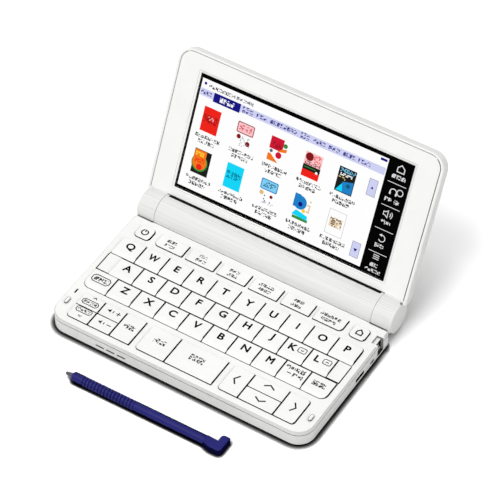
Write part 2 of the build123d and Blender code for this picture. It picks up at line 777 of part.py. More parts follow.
# ---------------------------------------------------------------- lid bezel
with BuildPart() as lid_bezel:
    with BuildSketch(lid_plane.offset(lid_face - bezel_thickness)):
        add(lid_outline(bezel_foot, lid_side_rim + bezel_gap, lid_top_rim + bezel_gap))
    extrude(amount=bezel_thickness)
    with BuildSketch(lid_plane.offset(lid_face - bezel_thickness)):
        add(window(0))
    extrude(amount=bezel_thickness, mode=Mode.SUBTRACT)
    # sloping step down to the window
    with BuildSketch(lid_plane.offset(lid_face)):
        add(window(window_bevel))
    with BuildSketch(lid_plane.offset(lid_face - window_recess)):
        add(window(0))
    loft(mode=Mode.SUBTRACT)
save(lid_bezel.part, "lid_bezel")

# ---------------------------------------------------------------- display
with BuildPart() as display_panel:
    with BuildSketch(lid_plane.offset(lid_face - window_recess)):
        add(window(-glass_gap))
    extrude(amount=-(bezel_thickness - window_recess))
    with BuildSketch(lid_plane.offset(lid_face - bezel_thickness)):
        add(window(module_margin))
    extrude(amount=-module_thickness)
save(display_panel.part, "display_panel")

# ---------------------------------------------------------------- stylus
stylus_plane = Plane(
    origin=(stylus_tip_x, from_front(stylus_tip_y), stylus_radius),
    x_dir=(math.cos(math.radians(stylus_turn)), math.sin(math.radians(stylus_turn)), 0),
    z_dir=(0, 0, 1),
)
stylus_axis = Axis(stylus_plane.origin, stylus_plane.x_dir)
with BuildPart() as stylus:
    # the barrel of the pen, with its recessed grip
    with BuildSketch(stylus_plane):
        with BuildLine():
            Polyline((stylus_tip_length, 0), (stylus_tip_length, stylus_nose_radius),
                     (stylus_tip_length + stylus_nose_length, stylus_radius),
                     (stylus_grip_start, stylus_radius), (stylus_grip_start, stylus_radius - stylus_grip_recess),
                     (stylus_grip_end, stylus_radius - stylus_grip_recess), (stylus_grip_end, stylus_radius),
                     (stylus_neck_start, stylus_radius), (stylus_neck_start, 0), close=True)
        make_face()
    revolve(axis=stylus_axis)
    # the L-shaped head, which hooks over the edge of the case
    with BuildSketch(stylus_plane.offset(-stylus_head_height / 2)) as head:
        with BuildLine():
            Polyline((stylus_neck_start, -stylus_radius * 0.9), (stylus_neck_start + stylus_head_slope, -stylus_heel),
                     (stylus_length, -stylus_heel), (stylus_length, stylus_hook_reach - stylus_heel),
                     (stylus_length - stylus_hook_width, stylus_hook_reach - stylus_heel),
                     (stylus_length - stylus_hook_width, stylus_radius * 0.8),
                     (stylus_neck_start, stylus_radius * 0.9), close=True)
        make_face()
        hook_end = head.vertices().group_by(Axis(stylus_plane.origin, stylus_plane.y_dir))[-1]
        fillet(hook_end, stylus_hook_width / 2 - 0.3)
        fillet(head.vertices().sort_by(lambda v: v.X - v.Y)[-1], stylus_heel_radius)
    extrude(amount=stylus_head_height)
    head_top = stylus.faces().filter_by(Plane.XY).sort_by(Axis.Z)[-1]
    chamfer(head_top.edges().filter_by(lambda e: e.center().X > stylus_tip_x + stylus_neck_start + 0.5),
            stylus_head_chamfer)
    # the nib, a separate piece in front of the nose
    with BuildSketch(stylus_plane):
        with BuildLine():
            Polyline((0, 0), (0, stylus_tip_radius / 2), (stylus_tip_radius / 2, stylus_tip_radius),
                     (stylus_tip_length - stylus_tip_gap, stylus_nose_radius - stylus_tip_step),
                     (stylus_tip_length - stylus_tip_gap, 0), close=True)
        make_face()
    revolve(axis=stylus_axis)
save(stylus.part, "stylus")
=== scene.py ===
import functools
import math
import random

import bmesh
import bpy
from mathutils import Matrix, Vector


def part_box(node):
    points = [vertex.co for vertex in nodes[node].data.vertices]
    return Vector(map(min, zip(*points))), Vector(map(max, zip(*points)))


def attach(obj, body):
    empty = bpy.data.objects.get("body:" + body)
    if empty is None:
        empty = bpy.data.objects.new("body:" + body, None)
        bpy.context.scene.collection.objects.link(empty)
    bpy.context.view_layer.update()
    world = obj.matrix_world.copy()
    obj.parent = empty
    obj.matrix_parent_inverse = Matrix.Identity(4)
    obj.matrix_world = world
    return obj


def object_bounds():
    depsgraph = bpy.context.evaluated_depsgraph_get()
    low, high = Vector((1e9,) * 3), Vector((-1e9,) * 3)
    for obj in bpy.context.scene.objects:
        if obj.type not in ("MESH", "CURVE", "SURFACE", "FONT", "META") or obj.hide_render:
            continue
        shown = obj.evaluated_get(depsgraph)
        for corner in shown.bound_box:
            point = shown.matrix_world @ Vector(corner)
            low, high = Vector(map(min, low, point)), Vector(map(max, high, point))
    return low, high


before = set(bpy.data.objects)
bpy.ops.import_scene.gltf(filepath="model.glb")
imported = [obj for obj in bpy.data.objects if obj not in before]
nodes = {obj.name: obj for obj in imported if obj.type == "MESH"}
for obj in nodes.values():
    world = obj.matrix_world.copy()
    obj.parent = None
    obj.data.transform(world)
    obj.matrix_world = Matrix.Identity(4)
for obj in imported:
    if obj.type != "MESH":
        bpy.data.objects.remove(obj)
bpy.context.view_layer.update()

MM = 0.001
INK_GAP = 0.03 * MM  # how far a printed mark lies above the face that carries it

# Places on the part that its paint and its marks need, in millimetres.
CASE_SIDE, CASE_FRONT = 74.0, 47.9
DECK_Z, PARTING_Z, SEAM_LOW, BUMPER_TOP = 9.6, 7.5, 7.15, 10.35
HINGE, BARREL_RADIUS = Vector((0.0, 39.0, 10.15)), 8.9
MIDDLE_SIDE = 61.7  # half the length of the middle stretch of the barrel
BARREL_LINE_SIDE, BARREL_LINE_FRONT, BARREL_LINE_BACK = 73.0, 29.6, 30.0
FILLER_INNER, FILLER_OUTER, FILLER_FRONT, FILLER_BACK, FILLER_GAP = 63.2, 70.1, -11.15, 0.9, 0.6
MICROPHONE_X, MICROPHONE_HALF, MICROPHONE_FRONT, MICROPHONE_BACK = -70.0, 0.45, -29.7, -27.1
BUMPER_X, BUMPER_FRONT, BUMPER_BACK, BUMPER_ROUND = 70.1, -37.0, -34.8, 0.8
CARD_SLOT_FRONT, CARD_SLOT_BACK, CARD_SLOT_LOW, CARD_SLOT_HIGH = 12.5, 15.7, 2.25, 3.5
STYLUS_TIP, STYLUS_TURN = Vector((-48.1, -69.3, 2.5)), math.radians(0.45)
NIB_LENGTH, GRIP_START, GRIP_END = 3.88, 10.6, 40.0

# The lid: heights are measured up it from the hinge, and offsets out of its plane.
LID_ANGLE = math.radians(63.5)
LID_UP = Vector((0, math.cos(LID_ANGLE), math.sin(LID_ANGLE)))
LID_OUT = Vector((0, -math.sin(LID_ANGLE), math.cos(LID_ANGLE)))
GLASS_OFFSET, BEZEL_OFFSET = -0.85, -0.45
BEZEL_SIDE, BEZEL_FOOT = 73.9, 9.4
WINDOW_SIDE, WINDOW_LOW, WINDOW_HIGH = 60.35, 14.95, 76.85
EDGE_LOW, EDGE_HIGH = 14.0, 78.0  # the limits of the middles of the faces at the edge of the window
SEAM_SIDE, SEAM_FOOT, SEAM_TOP, SEAM_CORNER = 73.6, 9.5, 86.0, 6.6
LIP_START, LIP_END = -5, 9  # the ends of the lip round the barrel, in degrees from the lid's plane
LIP_STEPS = 8

# Blocks round the faces that get a second colour: the limits of their middles, in millimetres. All but the
# socket get painted shade.
FREE = (-math.inf, math.inf)  # a coordinate with no limits
WALL_SEAM = {"z": (SEAM_LOW - 0.01, PARTING_Z + 0.01)}
SPEAKER_SLITS = {"x": (-48.8, -24.8), "y": (-CASE_FRONT + 0.1, -CASE_FRONT + 2.0), "z": (2.8, 4.0)}
SIDE_PORTS = {"x": (60.0, CASE_SIDE - 0.05), "y": (-2.0, 16.0), "z": (1.9, 4.6)}
SOCKET = {"x": (60.0, math.inf), "y": (-2.0, 8.0), "z": (-math.inf, 6.5)}
BARREL_RIM = {"x": (73.2, math.inf), "y": (30.5, math.inf), "z": (-math.inf, 19.2)}
FILLER_WELLS = {"x": (62.5, 70.7), "y": (-11.7, 1.7), "z": (-math.inf, DECK_Z - 0.02)}
MICROPHONE = {"x": (-70.4, -69.6), "y": (-30.2, -26.6)}
BUMPERS = {"y": (-40.0, -33.0), "z": (DECK_Z, math.inf)}
DECK_EDGE = {"z": (9.0, DECK_Z)}
NOTCH_LEDGE = {"x": (70.3, math.inf), "y": (19.0, 24.8), "z": (8.1, math.inf)}
NOTCH_BACK = {"x": (72.5, 73.9), "y": (24.5, 24.8)}
NOTCH_SIDE = {"x": (72.3, 72.5), "y": (19.0, 24.7)}
NOTCH_HOLE = {"x": (62.0, 72.3), "y": (19.1, 24.7), "z": (-math.inf, 7.0)}
NOTCH_FLOOR = {"x": (72.3, CASE_SIDE), "y": (19.0, 24.7), "z": (-math.inf, 1.7)}
TOWARD = 0.5  # a face looks along an axis where its normal goes further along it than this
EDGE_ON = 0.4  # a face of the bezel is one of its edges where its normal leaves the lid's plane by less

# Print on the keys and the display, in millimetres.
LETTER_HEIGHT, LETTER_WEIGHT = 4.2, 0.19
CAPITAL_SHARE = 0.69  # how tall a capital of Blender's own font is in its size
GRAIN = 0.48  # size of the specks in print too small to read
BLOCK_SHARE, SPECK_CHANCE = 0.86, 0.72  # how much of its place a block of specks fills, and how densely
DISC_STEPS, ARC_STEPS = 24, 20
# these keys get a painted shade line along their back edge
BACK_ROWS = [*"asdfghjklzxcvbnm", "space", "delete"]  # keys with another row right behind them
LAYER_STEP = 0.02  # between the layers of the display's picture
PAGE_LEFT, PAGE_LOW, PAGE_RIGHT, PAGE_HIGH = -59.6, 16.4, 46.85, 75.0
COVER_WIDTH, COVER_HEIGHT = 9.7, 13.1
UPPER_SHELF, LOWER_SHELF = 48.5, 25.7  # the feet of the two rows of covers, up the lid

# The grip of the stylus: one rib as shares of its pitch with the radius there, in millimetres.
RIBS, RING_STEPS, NECK_RADIUS = 16, 32, 2.31
RIB_PROFILE = (
    (0.0, NECK_RADIUS), (0.12, 2.46), (0.22, 2.49), (0.62, 2.49), (0.72, 2.46), (0.84, NECK_RADIUS))

# The floor, in metres. A thin dark line follows what stands on it, and its reach depends on the place.
FLOOR_HALF, FLOOR_DROP = 4.0, 0.00005
FLOOR_GREY = (0.45, 0.45, 0.45, 1)  # the floor as it lights the object
FLOOR_WHITE = 1.2  # the floor as the camera sees it, so that only its shadows are darker than white
CONTACT_REACH, STYLUS_REACH, BARREL_REACH = 0.0033, 0.0018, 0.0012  # beside the base, stylus and barrel
CONTACT_DEPTH = 8.0  # the power that darkens the line
BEFORE_BASE, BEFORE_BARREL = (-0.060, -0.055), (0.026, 0.031)  # where the reach changes, along y
SHELTER_REACH, SHELTER_WHITE = 0.05, 1.18  # the softer shade behind the lid, and its gain
SHELTER_START = (0.02, 0.05)  # where that shade comes in, along y
FLOOR_FADE = (0.3, 0.6)  # where the floor turns plain white, out from the origin

# Light. Each lamp has a place, the side of its square and an energy.
WHITE, SKY_STRENGTH = (1, 1, 1, 1), 0.44
LAMP_AIM = Vector((0, 0.02, 0.03))
LAMPS = {
    "key_light": ((-0.3, -0.8, 1.43), 1.0, 17.4),
    "side_light": ((1.1, -0.35, 0.6), 0.8, 3.4),
    "back_light": ((0.2, 0.85, 1.35), 1.0, 1.6),
}


# ---------------------------------------------------------------- camera
def make_camera():
    """A long lens from the front right and above: its place, in millimetres, and its own directions."""
    data = bpy.data.cameras.new("camera")
    data.lens = 203.53
    data.sensor_width = 36.0
    data.clip_start, data.clip_end = 0.05, 50.0
    camera = bpy.data.objects.new("camera", data)
    bpy.context.scene.collection.objects.link(camera)
    place = Vector((506.30, -750.87, 1051.63))
    right = Vector((0.84396, 0.53624, -0.01300))
    down = Vector((0.38992, -0.62996, -0.67165))
    ahead = Vector((-0.36836, 0.56178, -0.74075))
    turn = Matrix((right, -down, -ahead)).transposed()
    camera.matrix_world = Matrix.Translation(place * MM) @ turn.to_4x4()
    bpy.context.scene.camera = camera


# ---------------------------------------------------------------- shader nodes
def fill(tree, node, sockets):
    """Give each of a node's sockets a value, or a link from another node's socket."""
    for key, value in sockets.items():
        if isinstance(value, bpy.types.NodeSocket):
            tree.links.new(value, node.inputs[key])
        else:
            node.inputs[key].default_value = value


def add(tree, kind, sockets=None, operation=None):
    """A new node of a kind, with its sockets filled."""
    node = tree.nodes.new("ShaderNode" + kind)
    if operation:
        node.operation = operation
    fill(tree, node, sockets or {})
    return node


def object_place(tree):
    return add(tree, "TexCoord").outputs["Object"]


def calculate(tree, operation, first, second):
    """A socket with the result of an operation on two values or sockets."""
    return add(tree, "Math", {0: first, 1: second}, operation).outputs["Value"]


def ramp(tree, value, limits, first=0.0, last=1.0):
    """A socket that goes from first to last as a value goes from one limit to the other."""
    start, end = limits
    sockets = {"Value": value, "From Min": start, "From Max": end, "To Min": first, "To Max": last}
    return add(tree, "MapRange", sockets).outputs["Result"]


def mix_shaders(tree, share, first, second):
    """A socket that goes from the first shader to the second as the share goes from 0 to 1."""
    return add(tree, "MixShader", {"Fac": share, 1: first, 2: second}).outputs["Shader"]


def seen_directly(tree):
    """A socket that is 1 for what the camera, a gloss or a glass shows, and 0 for scattered light."""
    path = add(tree, "LightPath").outputs
    first = calculate(tree, "MAXIMUM", path["Is Camera Ray"], path["Is Glossy Ray"])
    return calculate(tree, "MAXIMUM", first, path["Is Transmission Ray"])


# ---------------------------------------------------------------- materials
def linear(red, green, blue):
    """A colour given as it looks on a screen, 0 to 255, as the shader wants it."""
    out = []
    for c in (red, green, blue):
        c = c / 255.0
        out.append(c / 12.92 if c <= 0.04045 else ((c + 0.055) / 1.055) ** 2.4)
    return (*out, 1.0)


def new_material(name):
    material = bpy.data.materials.new(name)
    material.use_nodes = True
    tree = material.node_tree
    return material, tree, tree.nodes["Principled BSDF"]


def mottled(tree, place, light, dark, scale, detail=3.0, ends=(0.35, 0.65)):
    """A colour that wanders a little between two shades."""
    noise = add(tree, "TexNoise", {"Vector": place, "Scale": scale, "Detail": detail})
    shades = add(tree, "ValToRGB", {"Fac": noise.outputs["Fac"]})
    for element, position, shade in zip(shades.color_ramp.elements, ends, (dark, light)):
        element.position = position
        element.color = shade
    return shades.outputs["Color"]


def grained(tree, place, scale, strength):
    """Fine moulded grain, as a normal."""
    noise = add(tree, "TexNoise", {"Vector": place, "Scale": scale, "Detail": 2.0})
    sockets = {"Height": noise.outputs["Fac"], "Strength": strength, "Distance": 0.0002}
    return add(tree, "Bump", sockets).outputs["Normal"]


def plastic(name, light, dark, roughness, grain=(2200.0, 0.10), scale=60.0, specular=0.5):
    """Plastic in two near shades. The grain is its scale and its strength, or None."""
    material, tree, shader = new_material(name)
    place = object_place(tree)
    fill(tree, shader, {
        "Base Color": mottled(tree, place, linear(*light), linear(*dark), scale),
        "Roughness": roughness,
        "Specular IOR Level": specular,
    })
    if grain:
        fill(tree, shader, {"Normal": grained(tree, place, *grain)})
    return material


def streaked(name, light, dark, roughness, specular):
    """Plastic with fine lines along x, as long strokes of two shades."""
    material, tree, shader = new_material(name)
    stretch = add(tree, "Mapping", {"Vector": object_place(tree), "Scale": (14.0, 1700.0, 1700.0)})
    place = stretch.outputs["Vector"]
    fill(tree, shader, {
        "Base Color": mottled(tree, place, linear(*light), linear(*dark), scale=1.0),
        "Roughness": roughness,
        "Specular IOR Level": specular,
    })
    return material


def metal(name, light, dark, roughness):
    material, tree, shader = new_material(name)
    place = object_place(tree)
    fill(tree, shader, {
        "Base Color": mottled(tree, place, linear(*light), linear(*dark), scale=300.0),
        "Normal": grained(tree, place, scale=900.0, strength=0.08),
        "Metallic": 1.0,
        "Roughness": roughness,
    })
    return material


def lit(name, colour):
    """A patch of the display, which glows with its own colour."""
    material, tree, shader = new_material(name)
    bright = linear(*colour)
    dim = (*(c * 0.97 for c in bright[:3]), 1.0)
    weave = mottled(tree, object_place(tree), bright, dim, scale=700.0, detail=2.0, ends=(0.0, 1.0))
    fill(tree, shader, {
        "Emission Color": weave,
        "Emission Strength": 1.0,
        "Base Color": (0.003, 0.003, 0.003, 1.0),
        "Roughness": 0.4,
        "Specular IOR Level": 0.02,
    })
    return material


# Each finish: its two shades as they look on a screen, its roughness and, where given, its grain.
shell_white = plastic("shell_white", (242, 242, 240), (239, 239, 237), 0.42)
barrel_white = streaked("barrel_white", (229, 229, 227), (217, 217, 215), 0.5, 0.3)
bezel_white = plastic("bezel_white", (243, 243, 241), (241, 241, 239), 0.45)
key_white = plastic("key_white", (242, 242, 240), (238, 238, 236), 0.55, (1500.0, 0.25))
# painted shade: near black in gaps, holes, ports and slits, and on the sides of keys
painted_gap_shade = plastic("painted_gap_shade", (14, 14, 15), (9, 9, 10), 0.8, None, specular=0.1)
# the panel's own black, also painted shade on the window's edge
panel_black_and_window_shade = plastic("panel_black_and_window_shade", (3, 3, 4), (2, 2, 2), 0.15, None, specular=0.01)
# painted shade along the seam at the top of the bezel
painted_top_seam_shade = plastic("painted_top_seam_shade", (184, 184, 183), (176, 176, 175), 0.6, None, specular=0.2)
# painted shade on the chamfer at the deck's edge
painted_edge_shade = plastic("painted_edge_shade", (206, 206, 205), (200, 200, 199), 0.5)
# painted shade: grey lines at seams, rims, ledges and the barrel's rim
painted_line_shade = plastic("painted_line_shade", (150, 150, 150), (138, 138, 138), 0.8, None, specular=0.2)
# painted shade of the bevel round the window
painted_bevel_shade = plastic("painted_bevel_shade", (218, 218, 217), (208, 208, 207), 0.6, None, specular=0.2)
# painted shade: dark lines at seams, and on the bumpers and in the notch
painted_seam_shade = plastic("painted_seam_shade", (44, 44, 46), (36, 36, 38), 0.8, None, specular=0.2)
nib_grey = plastic("nib_grey", (84, 84, 92), (70, 70, 78), 0.3)
# painted shade on the stylus's lower and far side and in the grip's grooves
stylus_painted_shade = plastic("stylus_painted_shade", (16, 16, 58), (12, 12, 50), 0.5, (1500.0, 0.05), specular=0.0)
stylus_navy = plastic("stylus_navy", (36, 36, 112), (30, 30, 102), 0.42, (1500.0, 0.05), specular=0.12)
rubber_grey = plastic("rubber_grey", (120, 120, 122), (108, 108, 110), 0.8, (1800.0, 0.3), specular=0.2)
sheet_grey = plastic("sheet_grey", (120, 120, 126), (112, 112, 118), 0.7, (1200.0, 0.2), specular=0.3)
board_green = plastic("board_green", (38, 92, 58), (28, 74, 46), 0.4, (400.0, 0.2), 500.0)
cell_wrap = plastic("cell_wrap", (196, 150, 62), (178, 132, 52), 0.35, (500.0, 0.05), 120.0)
steel = metal("steel", (190, 190, 194), (172, 172, 178), 0.28)
# print ink, also painted shade along the back edges of keys
ink_and_gap_shade = plastic("ink_and_gap_shade", (14, 14, 16), (8, 8, 10), 0.6, None, 900.0, 0.1)

# The display's colours, as they look on it.
glow = {
    name: lit("glow_" + name, colour)
    for name, colour in {
        "white": (255, 255, 255), "lavender": (208, 210, 244), "navy": (12, 10, 128), "ink": (10, 10, 12),
        "slate": (92, 96, 112), "grey": (176, 178, 182), "coal": (20, 24, 20), "chalk": (226, 226, 228),
        "red": (238, 30, 18), "crimson": (206, 14, 48), "maroon": (132, 12, 22), "pink": (252, 196, 200),
        "orange": (246, 118, 22), "yellow": (250, 206, 56), "sand": (222, 190, 128), "brown": (104, 72, 24),
        "green": (52, 140, 56), "cyan": (8, 214, 248), "sky": (128, 206, 244), "blue": (28, 128, 200),
        "teal": (0, 92, 120),
    }.items()
}

SURFACES = {
    "lower_case": shell_white,
    "keyboard_cover": shell_white,
    "battery_cover": shell_white,
    "lid_back": shell_white,
    "lid_bezel": bezel_white,
    "display_panel": panel_black_and_window_shade,
    "battery_cells": cell_wrap,
    "circuit_board": board_green,
    "keypad_sheet": sheet_grey,
    "hinge_shafts": steel,
    "rubber_feet": rubber_grey,
    "stylus": stylus_navy,
}


# ---------------------------------------------------------------- paint
def paint(name, material, where):
    """A second material on the faces of a node that a test of their middle, in mm, and normal picks."""
    data = nodes[name].data
    data.materials.append(material)
    for face in data.polygons:
        if where(Vector(face.center) / MM, face.normal):
            face.material_index = len(data.materials) - 1


def inside(point, x=FREE, y=FREE, z=FREE):
    """Whether a point lies between the limits given for its coordinates."""
    return all(low < place < high for place, (low, high) in zip(point, (x, y, z)))


def upright(normal):
    return abs(normal.z) < 0.2


def on_shaded_key_side(_, normal):
    """Whether a face is an upright side of a key, or its right chamfer, which get painted shade."""
    return upright(normal) or (0.3 < normal.z < 0.8 and normal.x > TOWARD)


def on_barrel(middle, normal):
    """Whether a face lies on the round of the hinge barrel."""
    out = Vector((0, middle.y - HINGE.y, middle.z - HINGE.z))
    return abs(out.length - BARREL_RADIUS) < 0.3 and normal.dot(out) > 0.9 * out.length


def on_shaded_barrel_rim(middle, normal):
    """Whether a face lies on the rear or lower rim at the barrel's right end, which gets a painted shade
    line.
    """
    return inside(middle, **BARREL_RIM) and 0.2 < normal.x < 0.96 and (normal.y > 0.15 or normal.z < -0.3)


def on_shaded_filler_well(middle, _):
    """Whether a face lies low round one of the blank fillers, at the left or the right, where shade is
    painted.
    """
    return inside((abs(middle.x), middle.y, middle.z), **FILLER_WELLS)


# the edges of the bezel, which get painted shade
def on_shaded_bezel_edge(_, normal):
    return abs(normal.dot(LID_OUT)) < EDGE_ON


def on_shaded_window_rim(middle, normal):
    """Whether a face is an edge of the bezel inside the window, painted black as shade."""
    height = (middle - HINGE).dot(LID_UP)
    in_window = abs(middle.x) < WINDOW_SIDE + 0.1 and EDGE_LOW < height < EDGE_HIGH
    return in_window and on_shaded_bezel_edge(middle, normal)


def paint_base():
    """Painted shade on the base: its dark seam, slits, ports, wells, microphone, bumpers, deck edge and
    barrel rim; also its streaked barrel and steel socket.
    """
    paint("lower_case", painted_gap_shade, lambda m, n: inside(m, **WALL_SEAM))
    paint("lower_case", painted_gap_shade, lambda m, n: inside(m, **SPEAKER_SLITS))
    paint("lower_case", painted_gap_shade, lambda m, n: inside(m, **SIDE_PORTS))
    for name in ("lower_case", "keyboard_cover", "battery_cover", "lid_back"):
        paint(name, barrel_white, on_barrel)
        paint(name, painted_line_shade, on_shaded_barrel_rim)
    paint("circuit_board", steel, lambda m, n: inside(m, **SOCKET))
    paint("keyboard_cover", painted_gap_shade, on_shaded_filler_well)
    paint("keyboard_cover", painted_gap_shade, lambda m, n: upright(n) and inside(m, **MICROPHONE))
    paint("keyboard_cover", painted_seam_shade, lambda m, n: upright(n) and inside(m, **BUMPERS))
    paint("keyboard_cover", painted_edge_shade, lambda m, n: 0.5 < n.z < 0.8 and inside(m, **DECK_EDGE))


def paint_notch():
    """Painted shade in the notch for the stylus head: on its ledge, its walls, the hole behind them and its
    floor.
    """
    paint("keyboard_cover", painted_line_shade, lambda m, n: n.z < TOWARD and inside(m, **NOTCH_LEDGE))
    for name in ("keyboard_cover", "lower_case"):
        paint(name, painted_line_shade, lambda m, n: n.y < -TOWARD and inside(m, **NOTCH_BACK))
        paint(name, painted_seam_shade, lambda m, n: n.x > TOWARD and inside(m, **NOTCH_SIDE))
    paint("lower_case", painted_gap_shade, lambda m, n: abs(n.y) > TOWARD and inside(m, **NOTCH_HOLE))
    paint("lower_case", painted_seam_shade, lambda m, n: n.z > TOWARD and inside(m, **NOTCH_FLOOR))


def paint_stylus():
    """Painted shade on the lower and far side of the stylus; and its nib."""
    along = Vector((math.cos(STYLUS_TURN), math.sin(STYLUS_TURN), 0.0))
    paint("stylus", stylus_painted_shade, lambda m, n: n.z < 0.02 or n.y > 0.3)
    paint("stylus", nib_grey, lambda m, n: (m - STYLUS_TIP).dot(along) < NIB_LENGTH)


def dress_nodes():
    for name, node in nodes.items():
        node.data.materials.clear()
        node.data.materials.append(SURFACES.get(name, key_white))
        if name not in SURFACES:
            # painted shade on the sides, so that the gaps between keys read dark
            paint(name, painted_gap_shade, on_shaded_key_side)
    paint_base()
    paint_notch()
    # painted shade on the bezel's edges, and black on the edge of its window
    paint("lid_bezel", painted_gap_shade, on_shaded_bezel_edge)
    paint("lid_bezel", panel_black_and_window_shade, on_shaded_window_rim)
    paint_stylus()


# ---------------------------------------------------------------- pieces
def new_piece(name, mesh, place, *materials):
    """An object from a mesh drawn in millimetres, set in its place."""
    data = bpy.data.meshes.new(name)
    mesh.to_mesh(data)
    mesh.free()
    data.transform(place @ Matrix.Scale(MM, 4))
    for material in materials:
        data.materials.append(material)
    piece = bpy.data.objects.new(name, data)
    bpy.context.scene.collection.objects.link(piece)
    return piece


class Marks:
    """Flat shapes drawn in a plane, in millimetres from an origin, that become one thin piece."""

    def __init__(self):
        self.mesh = bmesh.new()
        self.origin = (0.0, 0.0)

    def at(self, x, y):
        return self.origin[0] + x, self.origin[1] + y

    def shape(self, points):
        corners = [self.mesh.verts.new((*self.at(x, y), 0.0)) for x, y in points]
        self.mesh.faces.new(corners)

    def box(self, left, low, right, high):
        self.shape([(left, low), (right, low), (right, high), (left, high)])

    def disc(self, x, y, radius):
        turns = [2 * math.pi * i / DISC_STEPS for i in range(DISC_STEPS)]
        self.shape([(x + radius * math.cos(t), y + radius * math.sin(t)) for t in turns])

    def stroke(self, points, width, closed=False):
        """A line of one width through the points, mitred at its corners."""
        points = [Vector(self.at(x, y)) for x, y in points]
        count = len(points)
        left, right = [], []
        for i, p in enumerate(points):
            before = points[i - 1] if i or closed else None
            after = points[(i + 1) % count] if i < count - 1 or closed else None
            first = (p - before).normalized() if before is not None else (after - p).normalized()
            last = (after - p).normalized() if after is not None else first
            along = (first + last).normalized()
            across = Vector((-along.y, along.x))
            half = width / 2 / max(0.35, across.dot(Vector((-last.y, last.x))))
            left.append(self.mesh.verts.new((*(p + across * half), 0.0)))
            right.append(self.mesh.verts.new((*(p - across * half), 0.0)))
        for i in range(count if closed else count - 1):
            j = (i + 1) % count
            self.mesh.faces.new([right[i], right[j], left[j], left[i]])

    def arc(self, x, y, radius, start, end, width):
        turns = [math.radians(start + (end - start) * i / ARC_STEPS) for i in range(ARC_STEPS + 1)]
        self.stroke([(x + radius * math.cos(t), y + radius * math.sin(t)) for t in turns], width)

    def frame(self, left, low, right, high, width, corner=0.0):
        """An outline with its corners cut or square."""
        if corner:
            points = [
                (left + corner, low), (right - corner, low), (right, low + corner), (right, high - corner),
                (right - corner, high), (left + corner, high), (left, high - corner), (left, low + corner),
            ]
        else:
            points = [(left, low), (right, low), (right, high), (left, high)]
        self.stroke(points, width, True)

    def letter(self, words, x, y, height, squeeze, weight):
        """Characters centred on a point, their capitals as tall as given, thickened by shifted copies."""
        curve = bpy.data.curves.new("letters", "FONT")
        curve.body = words
        curve.size = (height - 2 * weight) / CAPITAL_SHARE
        curve.resolution_u = 4
        holder = bpy.data.objects.new("letters", curve)
        flat = bpy.data.meshes.new_from_object(holder)
        xs = [v.co.x for v in flat.vertices]
        ys = [v.co.y for v in flat.vertices]
        centre_x, centre_y = (min(xs) + max(xs)) / 2, (min(ys) + max(ys)) / 2
        move = Matrix.Translation((*self.at(x, y), 0)) @ Matrix.Diagonal((squeeze, 1, 1, 1))
        flat.transform(move @ Matrix.Translation((-centre_x, -centre_y, 0)))
        copies = 8
        step = Matrix.Rotation(math.radians(360 / copies), 3, "Z")
        shift = Vector((weight, 0, 0))
        flat.transform(Matrix.Translation(shift))
        for _ in range(copies):
            self.mesh.from_mesh(flat)
            flat.transform(Matrix.Translation(step @ shift - shift))
            shift = step @ shift
        bpy.data.objects.remove(holder)
        bpy.data.curves.remove(curve)
        bpy.data.meshes.remove(flat)

    def print_row(self, left, low, right, high, count, seed):
        """Print too small to read, as many blocks of specks as given, each with a gap after it."""
        pick = random.Random(seed)
        pitch = (right - left) / count
        block_width = pitch * BLOCK_SHARE
        columns = max(4, round(block_width / GRAIN))
        rows = max(4, round((high - low) / GRAIN))
        wide, tall = block_width / columns, (high - low) / rows
        for block in range(count):
            for row in range(rows):
                column = 0
                while column < columns:
                    run = pick.choice((1, 2, 2, 3))
                    if pick.random() < SPECK_CHANCE:
                        end = min(column + run, columns)
                        x, y = left + block * pitch + column * wide, low + row * tall
                        self.box(x, y, left + block * pitch + end * wide - 0.1 * wide, y + 0.92 * tall)
                    column += run + pick.choice((0, 1))

    def dots(self, left, low, right, high, columns, rows, fill, seed):
        """Fine pattern: square specks, some of them left out."""
        pick = random.Random(seed)
        wide, tall = (right - left) / columns, (high - low) / rows
        for i in range(columns):
            for j in range(rows):
                if pick.random() < fill:
                    x, y = left + i * wide, low + j * tall
                    self.box(x, y, x + 0.86 * wide, y + 0.8 * tall)

    def place(self, name, plane, material, body, slot):
        """The finished piece, put on its plane and riding on its body."""
        bmesh.ops.triangulate(self.mesh, faces=self.mesh.faces[:])
        piece = new_piece(name, self.mesh, plane, material)
        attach(piece, body)


def level_plane(height):
    """The plane of the marks on a level face, which is as high as given, in millimetres."""
    return Matrix.Translation((0, 0, height * MM + INK_GAP))


def key_plane(key):
    """The plane of a key's face, its origin in the middle of the key."""
    low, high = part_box(key)
    return Matrix.Translation(((low.x + high.x) / 2, (low.y + high.y) / 2, high.z + INK_GAP))


def lid_plane(offset):
    """The plane of the lid: x across it, y up it from the hinge."""
    turn = Matrix((Vector((1, 0, 0)), LID_UP, LID_OUT)).transposed().to_4x4()
    return Matrix.Translation(HINGE * MM + LID_OUT * offset * MM) @ turn


# ---------------------------------------------------------------- key legends
def chevron(marks, x, y, angle, reach, half_width, width=0.75):
    """An arrow head that points along the angle, its tip half its reach ahead of the point."""
    turn = Matrix.Rotation(math.radians(angle), 2)
    corners = ((-reach / 2, half_width), (reach / 2, 0), (-reach / 2, -half_width))
    marks.stroke([Vector((x, y)) + turn @ Vector(p) for p in corners], width)


def back_edge_shade(marks, key):
    """A painted shade line along the back edge of a key, which widens the gap behind it."""
    low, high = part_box(key)
    half_width, half_depth = (high.x - low.x) / 2 / MM, (high.y - low.y) / 2 / MM
    marks.box(-half_width + 0.2, half_depth - 0.62, half_width - 0.2, half_depth - 0.12)


